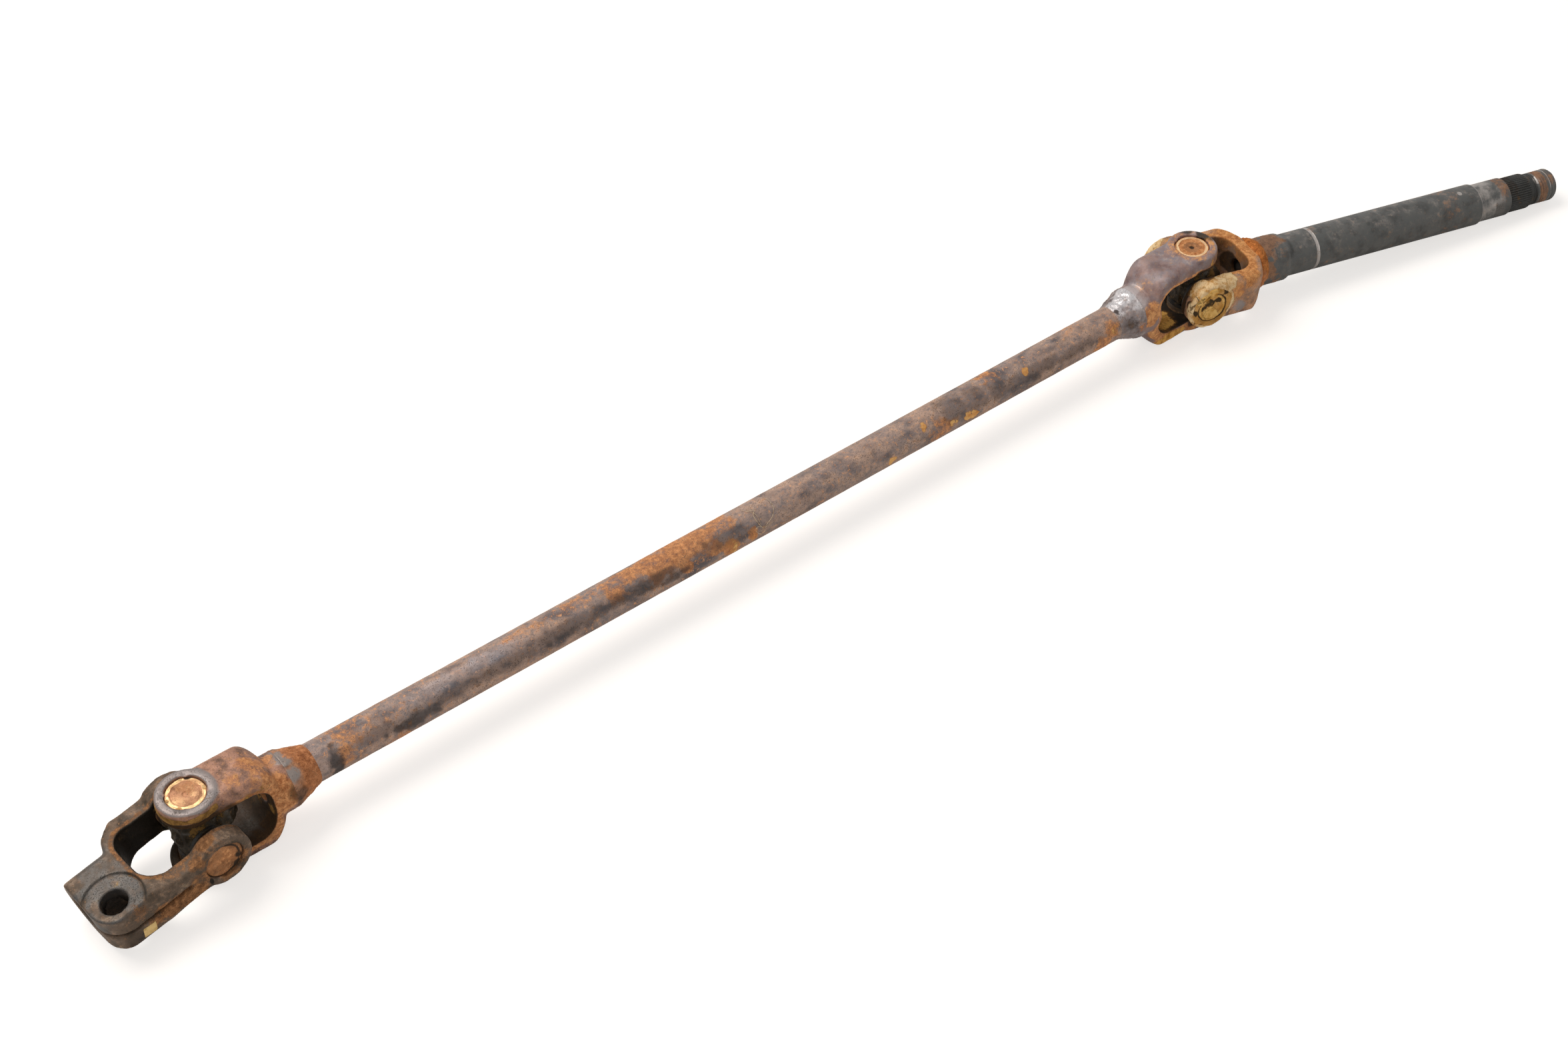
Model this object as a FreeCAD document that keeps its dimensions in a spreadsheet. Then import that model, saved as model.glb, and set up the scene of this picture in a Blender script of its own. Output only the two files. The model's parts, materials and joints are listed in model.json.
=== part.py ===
# Steering stem shaft: a rod with a cardan joint at each end. The lower joint
# carries a clamp yoke, the upper joint carries a turned shaft.
# Millimetres. +X runs along the rod from the lower to the upper joint, +Z is up
# and the shaft lies on Z = 0. The origin is under the middle of its bounding box.
import FreeCAD, Part
import math
import os
import re
import Sketcher

from FreeCAD import Placement, Rotation, Vector

SIZES = {
    # rod
    "joint_spacing": 513.0,
    "rod_radius": 8.0,
    # ears and straps of every yoke
    "ear_reach": 20.8,
    "ear_radius": 11.5,
    "ear_chamfer": 0.4,
    "boss_height": 0.5,
    "strap_half_width": 10.9,
    "strap_edge_round": 4.0,
    # yokes with a welded socket
    "gap_half": 12.8,
    "gap_depth": 27.5,
    "gap_corner": 8.0,
    "shoulder_round": 12.0,
    "shoulder_slant": 5.0,
    "root_hole_radius": 4.0,
    "socket_wall": 2.5,
    # rod yokes
    "base_end": 31.5,
    "base_radius": 13.2,
    "hub_radius": 12.0,
    "hub_length": 6.0,
    "rod_weld_length": 11.5,
    "rod_weld_lip": 0.4,
    "rod_weld_swell": 0.6,
    # shaft yoke
    "shaft_gap_depth": 26.8,
    "shaft_shoulder_slant": 7.0,
    "shaft_base_end": 33.0,
    "shaft_base_radius": 12.6,
    "spigot_radius": 8.0,
    "shaft_weld_length": 4.5,
    "shaft_weld_rise": 1.6,
    # clamp yoke
    "clamp_gap_half": 13.3,
    "clamp_gap_depth": 27.0,
    "clamp_gap_corner": 8.0,
    "clamp_length": 49.0,
    "clamp_arm_half_height": 8.0,
    "clamp_arm_straight": 18.0,
    "clamp_arm_blend": 8.0,
    "clamp_barrel_radius": 12.8,
    "clamp_flat_height": 10.15,
    "clamp_lug_depth": 9.5,
    "clamp_lug_end_round": 11.0,
    "clamp_lug_edge": 3.0,
    "clamp_rim_radius": 21.7,
    "clamp_waist_start": 22.0,
    "clamp_waist_length": 9.0,
    "clamp_bore_radius": 7.6,
    "slit_width": 1.5,
    "slit_start": 14.4,
    "bolt_axial": 39.6,
    "bolt_lateral": 11.4,
    "bolt_hole_radius": 5.25,
    "bolt_thread_radius": 4.3,
    "spotface_radius": 11.7,
    "spotface_depth": 0.5,
    # crosses
    "trunnion_radius": 5.0,
    "cross_collar_radius": 7.2,
    "cross_collar_reach": 8.6,
    "cross_block_half": 7.4,
    "cross_block_chamfer": 2.0,
    # bearing cups, needles and seals
    "cup_radius": 8.0,
    "cup_fit": 0.02,
    "cup_recess": 1.0,
    "cup_floor": 1.5,
    "cup_length": 9.3,
    "cup_chamfer": 0.7,
    "dimple_radius": 1.2,
    "dimple_depth": 0.4,
    "needle_radius": 0.97,
    "needle_clearance": 0.02,
    "needle_end_gap": 0.3,
    "needle_length": 6.2,
    "needle_count": 18,
    "seal_radius": 7.7,
    "seal_thickness": 1.4,
    "seal_clearance": 0.15,
    # turned shaft
    "collar_radius": 11.2,
    "collar_length": 16.5,
    "collar_taper": 3.0,
    "shaft_radius": 10.0,
    "shaft_shoulder": 162.5,
    "ring_position": 66.5,
    "ring_width": 1.6,
    "ring_depth": 0.3,
    "shoulder_taper": 1.2,
    "seat_radius": 9.2,
    "seat_length": 17.0,
    "spline_radius": 8.6,
    "spline_length": 13.0,
    "spline_tooth_depth": 0.6,
    "spline_teeth": 36,
    "thread_radius": 7.8,
    "thread_length": 17.0,
    "thread_chamfer": 1.3,
    "pin_groove_inset": 3.2,
    "pin_groove_width": 1.6,
    "pin_groove_depth": 0.7,
    # rest pose
    "clamp_yaw": 4.15,
    "shaft_yaw": 12.5,
    # reach of cuts past the solid
    "overcut": 2.0,
    # running play of welded and pressed seats
    "seat_play": 0.02,
}

DERIVED = {
    "strap_reach": "ear_reach - boss_height",
    "strap_outside": "strap_reach + overcut",
    "strap_beside": "strap_half_width + overcut",
    "gap_opening": "ear_radius + overcut",
    "shoulder_crest": "base_end - shoulder_slant",
    "shaft_shoulder_crest": "shaft_base_end - shaft_shoulder_slant",
    "envelope_radius": "sqrt(strap_reach ^ 2 + strap_half_width ^ 2) + 0.4 * boss_height",
    "envelope_outside": "envelope_radius + overcut",
    "envelope_start": "gap_depth - shoulder_round - 2 * overcut",
    "envelope_round": "shoulder_round + overcut",
    "base_past": "base_end + overcut",
    "shaft_base_past": "shaft_base_end + overcut",
    "hub_end": "base_end + hub_length",
    "socket_end": "gap_depth + socket_wall",
    "spigot_socket_end": "shaft_gap_depth + socket_wall",
    "socket_radius": "rod_radius + seat_play",
    "spigot_socket_radius": "spigot_radius + seat_play",
    "rod_weld_end": "hub_end + rod_weld_length",
    "rod_weld_middle": "hub_end + 0.4 * rod_weld_length",
    "rod_weld_foot": "hub_radius - rod_weld_lip",
    "rod_weld_crown": "(rod_weld_foot + rod_radius) / 2 + rod_weld_swell",
    "rod_weld_toe": "rod_radius + rod_weld_lip",
    "shaft_weld_end": "shaft_base_end + shaft_weld_length",
    "shaft_weld_crown": "collar_radius + shaft_weld_rise",
    "shaft_weld_middle": "shaft_base_end + 0.4 * shaft_weld_length",
    "shaft_weld_bore": "collar_radius + seat_play",
    "rod_start": "socket_end + seat_play",
    "rod_end": "joint_spacing - rod_start",
    "bore_radius": "cup_radius + cup_fit",
    "cup_face": "ear_reach - cup_recess",
    "cup_mouth": "cup_face - cup_length",
    "cup_floor_face": "cup_face - cup_floor",
    "cup_dimple_face": "cup_face - dimple_depth",
    "cup_face_radius": "cup_radius - cup_chamfer",
    "cup_shoulder": "cup_face - cup_chamfer",
    "cup_inner_radius": "trunnion_radius + 2 * needle_radius + 2 * needle_clearance",
    "trunnion_reach": "cup_floor_face - needle_end_gap",
    "needle_pitch_radius": "trunnion_radius + needle_radius + needle_clearance",
    "needle_start": "cup_floor_face - needle_end_gap - needle_length",
    "seal_end": "cup_mouth - seal_clearance",
    "seal_start": "seal_end - seal_thickness",
    "seal_bore": "trunnion_radius + seal_clearance",
    "block_bevel": "cross_block_half - cross_block_chamfer",
    "arm_outer": "clamp_barrel_radius - boss_height",
    "rim_outside": "clamp_rim_radius + 2 * overcut",
    "waist_end": "clamp_waist_start + clamp_waist_length",
    "waist_overlap": "waist_end + 2 * overcut",
    "arm_turn": "clamp_arm_straight + clamp_arm_blend",
    "clamp_past": "clamp_length + overcut",
    "clamp_outside": "ear_reach + overcut",
    "clamp_block_length": "clamp_length - clamp_gap_depth",
    "barrel_past": "clamp_barrel_radius + overcut",
    "lug_round_start": "clamp_length - 2 * clamp_lug_end_round",
    "lug_round_side": "ear_reach - 1.6 * clamp_lug_end_round",
    "spotface_level": "clamp_flat_height - spotface_depth",
    "collar_end": "shaft_base_end + collar_length",
    "collar_taper_end": "collar_end + collar_taper",
    "spigot_start": "spigot_socket_end + seat_play",
    "ring_start": "ring_position - ring_width / 2",
    "ring_end": "ring_position + ring_width / 2",
    "ring_floor": "shaft_radius - ring_depth",
    "seat_start": "shaft_shoulder + shoulder_taper",
    "seat_end": "seat_start + seat_length",
    "spline_end": "seat_end + spline_length",
    "spline_root": "spline_radius - spline_tooth_depth",
    "spline_notch_half": "0.9 * spline_tooth_depth",
    "tip": "spline_end + thread_length",
    "thread_end": "tip - thread_chamfer",
    "tip_radius": "thread_radius - thread_chamfer",
    "pin_groove_end": "tip - pin_groove_inset",
    "pin_groove_start": "pin_groove_end - pin_groove_width",
    "pin_groove_floor": "thread_radius - pin_groove_depth",
}

X_AXIS = Vector(1, 0, 0)
Y_AXIS = Vector(0, 1, 0)
Z_AXIS = Vector(0, 0, 1)

doc = FreeCAD.newDocument("SteeringStemShaft")
sheet = doc.addObject("Spreadsheet::Sheet", "Sizes")
derived = doc.addObject("App::VarSet", "Derived")
nodes = []


def fill_sheet():
    """Writes each driving size to the sheet, and each derived size as a formula on it."""
    for row, (alias, number) in enumerate(SIZES.items(), start=1):
        sheet.set("A%d" % row, alias)
        sheet.set("B%d" % row, str(number))
        sheet.setAlias("B%d" % row, alias)
    doc.recompute()
    for name, formula in DERIVED.items():
        derived.addProperty("App::PropertyFloat", name)
        derived.setExpression(name, linked(formula))
    doc.recompute()


def linked(formula):
    """Returns a formula with every size's name led by the object that holds it."""
    def with_holder(match):
        word = match.group(0)
        if word in SIZES:
            return "Sizes." + word
        if word in DERIVED:
            return "Derived." + word
        return word
    return re.sub(r"[a-z_]+", with_holder, formula)


def size(name):
    """Returns the number behind a size's name, which may start with a minus sign."""
    if name == "0":
        return 0.0
    if name.startswith("-"):
        return -size(name[1:])
    if name in SIZES:
        return float(sheet.get(name))
    return float(getattr(derived, name))


# sketches and features

def new_body(label):
    """Returns an empty body that becomes the node called label."""
    body = doc.addObject("PartDesign::Body", label)
    body.Label = label
    return body


def origin_feature(body, role):
    """Returns one of the body's own origin planes or axes."""
    return [part for part in body.Origin.OriginFeatures if part.Role == role][0]


def new_sketch(body, name, role, offset=None):
    """Returns a sketch on an origin plane of the body, moved along its normal by a size."""
    sketch = body.newObject("Sketcher::SketchObject", body.Label + "_" + name)
    sketch.AttachmentSupport = (origin_feature(body, role), "")
    sketch.MapMode = "FlatFace"
    if offset is not None:
        sketch.AttachmentOffset = Placement(Vector(0, 0, size(offset)), Rotation())
        sketch.setExpression(".AttachmentOffset.Base.z", linked(offset))
    return sketch


def pin_point(sketch, geometry, position, across, up):
    """Ties a sketch point to two sizes, measured from the sketch's origin."""
    for kind, axis, name in (("DistanceX", -2, across), ("DistanceY", -1, up)):
        if name == "0":
            sketch.addConstraint(Sketcher.Constraint("PointOnObject", geometry, position, axis))
        else:
            datum = Sketcher.Constraint(kind, -1, 1, geometry, position, size(name))
            index = sketch.addConstraint(datum)
            sketch.setExpression("Constraints[%d]" % index, linked(name))


def draw_circle(sketch, across, up, radius):
    """Draws a circle whose centre and radius are named sizes."""
    centre = Vector(size(across), size(up), 0)
    circle = sketch.addGeometry(Part.Circle(centre, Z_AXIS, size(radius)), False)
    if across == "0" and up == "0":
        sketch.addConstraint(Sketcher.Constraint("Coincident", circle, 3, -1, 1))
    else:
        pin_point(sketch, circle, 3, across, up)
    index = sketch.addConstraint(Sketcher.Constraint("Radius", circle, size(radius)))
    sketch.setExpression("Constraints[%d]" % index, linked(radius))


def corner_arc(before, corner, after, radius):
    """Returns the arc that rounds a corner, its two tangent points and its turn's sense."""
    inward = (before - corner).normalize()
    outward = (after - corner).normalize()
    half_angle = inward.getAngle(outward) / 2
    run = radius / math.tan(half_angle)
    first = corner + inward * run
    last = corner + outward * run
    bisector = (inward + outward).normalize()
    centre = corner + bisector * (radius / math.sin(half_angle))
    turns_left = (corner - before).cross(after - corner).z > 0
    start, end = (first, last) if turns_left else (last, first)
    start_angle = math.atan2(start.y - centre.y, start.x - centre.x)
    end_angle = math.atan2(end.y - centre.y, end.x - centre.x)
    arc = Part.ArcOfCircle(Part.Circle(centre, Z_AXIS, radius), start_angle, end_angle)
    return arc, first, last, turns_left


def draw_outline(sketch, corners):
    """Draws a closed outline. Each corner is (across, up) or (across, up, rounding radius)."""
    count = len(corners)
    points = [Vector(size(corner[0]), size(corner[1]), 0) for corner in corners]
    leaving = list(points)
    arriving = list(points)
    arcs = {}
    for index, corner in enumerate(corners):
        if len(corner) == 3:
            neighbours = points[index - 1], points[index], points[(index + 1) % count]
            arc, first, last, turns_left = corner_arc(*neighbours, size(corner[2]))
            arriving[index] = first
            leaving[index] = last
            arcs[index] = (sketch.addGeometry(arc, False), turns_left)
    lines = []
    for index in range(count):
        segment = Part.LineSegment(leaving[index], arriving[(index + 1) % count])
        lines.append(sketch.addGeometry(segment, False))
    for index, corner in enumerate(corners):
        line_in = lines[index - 1]
        line_out = lines[index]
        if index not in arcs:
            sketch.addConstraint(Sketcher.Constraint("Coincident", line_in, 2, line_out, 1))
            pin_point(sketch, line_out, 1, corner[0], corner[1])
            continue
        arc, turns_left = arcs[index]
        near_end, far_end = (1, 2) if turns_left else (2, 1)
        sketch.addConstraint(Sketcher.Constraint("Tangent", line_in, 2, arc, near_end))
        sketch.addConstraint(Sketcher.Constraint("Tangent", arc, far_end, line_out, 1))
        radius = sketch.addConstraint(Sketcher.Constraint("Radius", arc, size(corner[2])))
        sketch.setExpression("Constraints[%d]" % radius, linked(corner[2]))
        apex = sketch.addGeometry(Part.Point(points[index]), True)
        pin_point(sketch, apex, 1, corner[0], corner[1])
        sketch.addConstraint(Sketcher.Constraint("PointOnObject", apex, 1, line_in))
        sketch.addConstraint(Sketcher.Constraint("PointOnObject", apex, 1, line_out))


def extrude(kind, sketch, length, symmetric=True, reverse=False):
    """Adds a Pad or Pocket of a sketch. The length is a formula on the sizes."""
    body = sketch.getParentGeoFeatureGroup()
    volume_before = body.Shape.Volume if kind == "Pocket" else 0
    feature = body.newObject("PartDesign::" + kind, sketch.Name + "_" + kind)
    feature.Profile = sketch
    feature.SideType = "Symmetric" if symmetric else "One side"
    feature.Reversed = reverse
    feature.setExpression("Length", linked(length))
    body.Tip = feature
    doc.recompute()
    if kind == "Pocket" and body.Shape.Volume >= volume_before:
        raise RuntimeError("%s cuts nothing" % feature.Name)
    return feature


def revolve(kind, sketch):
    """Adds a Revolution or Groove of a sketch about the body's X axis."""
    body = sketch.getParentGeoFeatureGroup()
    feature = body.newObject("PartDesign::" + kind, sketch.Name + "_" + kind)
    feature.Profile = sketch
    feature.ReferenceAxis = (origin_feature(body, "X_Axis"), [""])
    feature.Angle = 360.0
    body.Tip = feature
    doc.recompute()
    return feature


def keep(node, placement):
    """Places a finished sub-part and lists it for the checks and the export."""
    node.Placement = placement
    nodes.append(node)


# yokes

def welded_yoke(label, crest, end, past, end_radius):
    """A forged yoke that ends in a socket: two ears on the local Z axis, two straps, a base."""
    body = new_body(label)
    straps = new_sketch(body, "straps", "XZ_Plane")
    draw_outline(straps, [
        ("0", "-strap_reach"),
        (crest, "-strap_reach", "shoulder_round"),
        (end, "-" + end_radius),
        (end, end_radius),
        (crest, "strap_reach", "shoulder_round"),
        ("0", "strap_reach"),
    ])
    extrude("Pad", straps, "2 * strap_half_width")
    round_edges(body, past)
    shoulders = new_sketch(body, "shoulders", "XZ_Plane")
    draw_outline(shoulders, [
        ("envelope_start", "envelope_radius"),
        (crest, "envelope_radius", "envelope_round"),
        (end, end_radius),
        (past, end_radius),
        (past, "envelope_outside"),
        ("envelope_start", "envelope_outside"),
    ])
    revolve("Groove", shoulders)
    ears = new_sketch(body, "ears", "XY_Plane")
    draw_circle(ears, "0", "0", "ear_radius")
    extrude("Pad", ears, "2 * ear_reach")
    return body


def round_edges(body, past):
    """Rounds the long outer edges of both straps, from the pin axis to past the base."""
    edges = new_sketch(body, "edges", "YZ_Plane", past)
    draw_outline(edges, [
        ("-strap_half_width", "-strap_reach", "strap_edge_round"),
        ("strap_half_width", "-strap_reach", "strap_edge_round"),
        ("strap_half_width", "strap_reach", "strap_edge_round"),
        ("-strap_half_width", "strap_reach", "strap_edge_round"),
    ])
    draw_outline(edges, [
        ("-strap_beside", "-strap_outside"),
        ("strap_beside", "-strap_outside"),
        ("strap_beside", "strap_outside"),
        ("-strap_beside", "strap_outside"),
    ])
    extrude("Pocket", edges, past, symmetric=False)


def open_gap(body, half, depth, corner, plane):
    """Cuts the gap between the ears, rounded at its root."""
    gap = new_sketch(body, "gap", plane)
    draw_outline(gap, [
        ("-gap_opening", "-" + half),
        (depth, "-" + half, corner),
        (depth, half, corner),
        ("-gap_opening", half),
    ])
    extrude("Pocket", gap, "4 * clamp_outside")


def bore_ears(body, plane):
    """Bores both ears for the bearing cups."""
    bores = new_sketch(body, "cup_bores", plane)
    draw_circle(bores, "0", "0", "bore_radius")
    extrude("Pocket", bores, "2 * ear_reach + overcut")


def bore_socket(body, start, radius, length):
    """Bores the blind socket from the weld side, and the small hole through the root."""
    socket = new_sketch(body, "socket", "YZ_Plane", start)
    draw_circle(socket, "0", "0", radius)
    extrude("Pocket", socket, length, symmetric=False)
    root = new_sketch(body, "root_hole", "YZ_Plane")
    draw_circle(root, "0", "0", "root_hole_radius")
    extrude("Pocket", root, "shaft_base_end + overcut", symmetric=False, reverse=True)


def ear_edges(body):
    """Returns the names of the outer rim edges of both ears, which lie on the local Z axis."""
    names = []
    for index, edge in enumerate(body.Shape.Edges, start=1):
        if not isinstance(edge.Curve, Part.Circle):
            continue
        on_face = abs(abs(edge.Curve.Center.z) - size("ear_reach")) < 0.01
        if on_face and abs(edge.Curve.Radius - size("ear_radius")) < 0.01:
            names.append("Edge%d" % index)
    return names


def chamfer_ears(body):
    """Breaks the outer rims of the raised ears."""
    solid = body.Tip
    rims = ear_edges(body)
    chamfer = body.newObject("PartDesign::Chamfer", body.Label + "_ear_chamfer")
    chamfer.Base = (solid, rims)
    chamfer.setExpression("Size", linked("ear_chamfer"))
    body.Tip = chamfer
    doc.recompute()


def rod_yoke(label, placement):
    """The yoke welded to one end of the rod, with a round hub behind its base."""
    body = welded_yoke(label, "shoulder_crest", "base_end", "base_past", "base_radius")
    hub = new_sketch(body, "hub", "YZ_Plane", "gap_depth")
    draw_circle(hub, "0", "0", "hub_radius")
    extrude("Pad", hub, "hub_end - gap_depth", symmetric=False)
    open_gap(body, "gap_half", "gap_depth", "gap_corner", "XZ_Plane")
    bore_ears(body, "XY_Plane")
    bore_socket(body, "hub_end", "socket_radius", "hub_end - socket_end")
    chamfer_ears(body)
    keep(body, placement)


def shaft_yoke(label, placement):
    """The yoke welded to the turned shaft, with a flat end that meets the shaft's collar."""
    body = welded_yoke(label, "shaft_shoulder_crest", "shaft_base_end", "shaft_base_past",
                       "shaft_base_radius")
    open_gap(body, "gap_half", "shaft_gap_depth", "gap_corner", "XZ_Plane")
    bore_ears(body, "XY_Plane")
    bore_socket(body, "shaft_base_end", "spigot_socket_radius",
                "shaft_base_end - spigot_socket_end")
    chamfer_ears(body)
    keep(body, placement)


def clamp_arms(body):
    """Two arms from the ears to the block, waisted on the far side and lower than the block."""
    arms = new_sketch(body, "arms", "XY_Plane")
    draw_outline(arms, [
        ("0", "-ear_reach"),
        ("clamp_waist_start", "-ear_reach", "clamp_gap_corner"),
        ("waist_end", "-arm_outer"),
        ("waist_overlap", "-arm_outer"),
        ("waist_overlap", "ear_reach"),
        ("0", "ear_reach"),
    ])
    extrude("Pad", arms, "2 * clamp_barrel_radius")
    sides = new_sketch(body, "arm_sides", "XZ_Plane")
    for sign in ("", "-"):
        level = "clamp_flat_height" if sign == "" else "clamp_lug_depth"
        draw_outline(sides, [
            ("-gap_opening", sign + "clamp_arm_half_height"),
            ("clamp_arm_straight", sign + "clamp_arm_half_height", "clamp_arm_blend"),
            ("arm_turn", sign + level),
            ("waist_overlap", sign + level),
            ("waist_overlap", sign + "barrel_past"),
            ("-gap_opening", sign + "barrel_past"),
        ])
    extrude("Pocket", sides, "4 * clamp_outside")
    waist = new_sketch(body, "waist", "XY_Plane")
    draw_outline(waist, [
        ("clamp_gap_depth", "envelope_radius"),
        ("waist_end", "clamp_barrel_radius"),
        ("clamp_past", "clamp_barrel_radius"),
        ("clamp_past", "envelope_outside"),
        ("clamp_gap_depth", "envelope_outside"),
    ])
    revolve("Groove", waist)


def clamp_block(body):
    """The round barrel about the bore, its flat top and the lug that the bolt draws shut."""
    barrel = new_sketch(body, "barrel", "YZ_Plane", "clamp_gap_depth")
    draw_circle(barrel, "0", "0", "clamp_barrel_radius")
    extrude("Pad", barrel, "clamp_block_length", symmetric=False)
    lug = new_sketch(body, "lug", "YZ_Plane", "clamp_gap_depth")
    draw_outline(lug, [
        ("0", "-clamp_lug_depth"),
        ("ear_reach", "-clamp_lug_depth", "clamp_lug_edge"),
        ("ear_reach", "clamp_flat_height", "clamp_lug_edge"),
        ("0", "clamp_flat_height"),
    ])
    extrude("Pad", lug, "clamp_block_length", symmetric=False)
    flat = new_sketch(body, "flat", "YZ_Plane", "clamp_gap_depth")
    draw_outline(flat, [
        ("-barrel_past", "clamp_flat_height"),
        ("barrel_past", "clamp_flat_height"),
        ("barrel_past", "barrel_past"),
        ("-barrel_past", "barrel_past"),
    ])
    extrude("Pocket", flat, "clamp_block_length + overcut", symmetric=False, reverse=True)
    nose = new_sketch(body, "lug_nose", "XY_Plane")
    draw_outline(nose, [
        ("lug_round_start", "ear_reach"),
        ("clamp_length", "ear_reach", "clamp_lug_end_round"),
        ("clamp_length", "lug_round_side"),
        ("clamp_past", "lug_round_side"),
        ("clamp_past", "clamp_outside"),
        ("lug_round_start", "clamp_outside"),
    ])
    extrude("Pocket", nose, "4 * clamp_outside")
    rim = new_sketch(body, "rim", "XY_Plane")
    draw_outline(rim, [
        ("-gap_opening", "clamp_rim_radius"),
        ("clamp_past", "clamp_rim_radius"),
        ("clamp_past", "rim_outside"),
        ("-gap_opening", "rim_outside"),
    ])
    revolve("Groove", rim)


def clamp_cuts(body):
    """The bore for the steered shaft, the slit, the pinch bolt's hole and its spotface."""
    bore = new_sketch(body, "shaft_bore", "YZ_Plane", "clamp_past")
    draw_circle(bore, "0", "0", "clamp_bore_radius")
    extrude("Pocket", bore, "clamp_block_length + 2 * overcut", symmetric=False)
    slit = new_sketch(body, "slit", "XY_Plane")
    draw_outline(slit, [
        ("slit_start", "0"),
        ("clamp_past", "0"),
        ("clamp_past", "clamp_outside"),
        ("slit_start", "clamp_outside"),
    ])
    extrude("Pocket", slit, "slit_width")
    for name, radius, upward in (("bolt_hole", "bolt_hole_radius", True),
                                 ("bolt_thread", "bolt_thread_radius", False)):
        hole = new_sketch(body, name, "XY_Plane")
        draw_circle(hole, "bolt_axial", "bolt_lateral", radius)
        extrude("Pocket", hole, "barrel_past", symmetric=False, reverse=upward)
    spotface = new_sketch(body, "spotface", "XY_Plane", "spotface_level")
    draw_circle(spotface, "bolt_axial", "bolt_lateral", "spotface_radius")
    extrude("Pocket", spotface, "overcut", symmetric=False, reverse=True)


def clamp_yoke(label, placement):
    """The lower yoke: ears on the local Y axis, and a split block that clamps a shaft."""
    body = new_body(label)
    clamp_arms(body)
    clamp_block(body)
    ears = new_sketch(body, "ears", "XZ_Plane")
    draw_circle(ears, "0", "0", "ear_radius")
    extrude("Pad", ears, "2 * ear_reach")
    open_gap(body, "clamp_gap_half", "clamp_gap_depth", "clamp_gap_corner", "XY_Plane")
    bore_ears(body, "XZ_Plane")
    clamp_cuts(body)
    keep(body, placement)


# rod, turned shaft and weld beads

def rod(label, placement):
    """The plain round rod, whose ends seat in the sockets of its two yokes."""
    bar = doc.addObject("Part::Cylinder", label)
    bar.Label = label
    bar.setExpression("Radius", linked("rod_radius"))
    bar.setExpression("Height", linked("rod_end - rod_start"))
    along = Rotation(Z_AXIS, X_AXIS)
    keep(bar, placement * Placement(Vector(size("rod_start"), 0, 0), along))


def turned(label, placement, corners):
    """A body turned about its X axis from an outline of (axial, radius) corners."""
    body = new_body(label)
    draw = new_sketch(body, "section", "XY_Plane")
    draw_outline(draw, corners)
    revolve("Revolution", draw)
    keep(body, placement)
    return body


def rod_weld_bead(label, placement):
    """The tapered weld that fills the step from a rod yoke's hub down to the rod."""
    turned(label, placement, [
        ("hub_end", "socket_radius"),
        ("rod_weld_end", "socket_radius"),
        ("rod_weld_end", "rod_weld_toe"),
        ("rod_weld_middle", "rod_weld_crown"),
        ("hub_end", "rod_weld_foot"),
    ])


def shaft_weld_bead(label, placement):
    """The raised weld round the collar, against the shaft yoke's base."""
    turned(label, placement, [
        ("shaft_base_end", "shaft_weld_bore"),
        ("shaft_weld_end", "shaft_weld_bore"),
        ("shaft_weld_middle", "shaft_weld_crown"),
        ("shaft_base_end", "shaft_weld_crown"),
    ])


def upper_shaft(label, placement):
    """The turned shaft: spigot, collar, ringed journal, bearing seat, spline and thread."""
    body = turned(label, placement, [
        ("spigot_start", "0"),
        ("tip", "0"),
        ("tip", "tip_radius"),
        ("thread_end", "thread_radius"),
        ("pin_groove_end", "thread_radius"),
        ("pin_groove_end", "pin_groove_floor"),
        ("pin_groove_start", "pin_groove_floor"),
        ("pin_groove_start", "thread_radius"),
        ("spline_end", "thread_radius"),
        ("spline_end", "spline_radius"),
        ("seat_end", "spline_radius"),
        ("seat_end", "seat_radius"),
        ("seat_start", "seat_radius"),
        ("shaft_shoulder", "shaft_radius"),
        ("ring_end", "shaft_radius"),
        ("ring_end", "ring_floor"),
        ("ring_start", "ring_floor"),
        ("ring_start", "shaft_radius"),
        ("collar_taper_end", "shaft_radius"),
        ("collar_end", "collar_radius"),
        ("shaft_base_end", "collar_radius"),
        ("shaft_base_end", "spigot_radius"),
        ("spigot_start", "spigot_radius"),
    ])
    notch = new_sketch(body, "spline_notch", "YZ_Plane", "spline_end")
    draw_outline(notch, [
        ("0", "spline_root"),
        ("spline_notch_half", "collar_radius"),
        ("-spline_notch_half", "collar_radius"),
    ])
    cut = extrude("Pocket", notch, "spline_length", symmetric=False)
    teeth = body.newObject("PartDesign::PolarPattern", label + "_teeth")
    teeth.Originals = [cut]
    teeth.Axis = (origin_feature(body, "X_Axis"), [""])
    teeth.Angle = 360.0
    teeth.Occurrences = int(size("spline_teeth"))
    body.Tip = teeth
    doc.recompute()


# crosses and their bearings

def cross(label, placement):
    """A forged cross: a bevelled middle block, four collars and four trunnions."""
    body = new_body(label)
    block = new_sketch(body, "block", "XY_Plane")
    draw_outline(block, [
        ("block_bevel", "-cross_block_half"),
        ("cross_block_half", "-block_bevel"),
        ("cross_block_half", "block_bevel"),
        ("block_bevel", "cross_block_half"),
        ("-block_bevel", "cross_block_half"),
        ("-cross_block_half", "block_bevel"),
        ("-cross_block_half", "-block_bevel"),
        ("-block_bevel", "-cross_block_half"),
    ])
    extrude("Pad", block, "2 * cross_block_half")
    for plane in ("XY_Plane", "XZ_Plane"):
        for name, radius, reach in (("collar_", "cross_collar_radius", "cross_collar_reach"),
                                    ("pin_", "trunnion_radius", "trunnion_reach")):
            section = new_sketch(body, name + plane[:2], plane)
            draw_circle(section, "0", "0", radius)
            extrude("Pad", section, "2 * " + reach)
    keep(body, placement)


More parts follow.
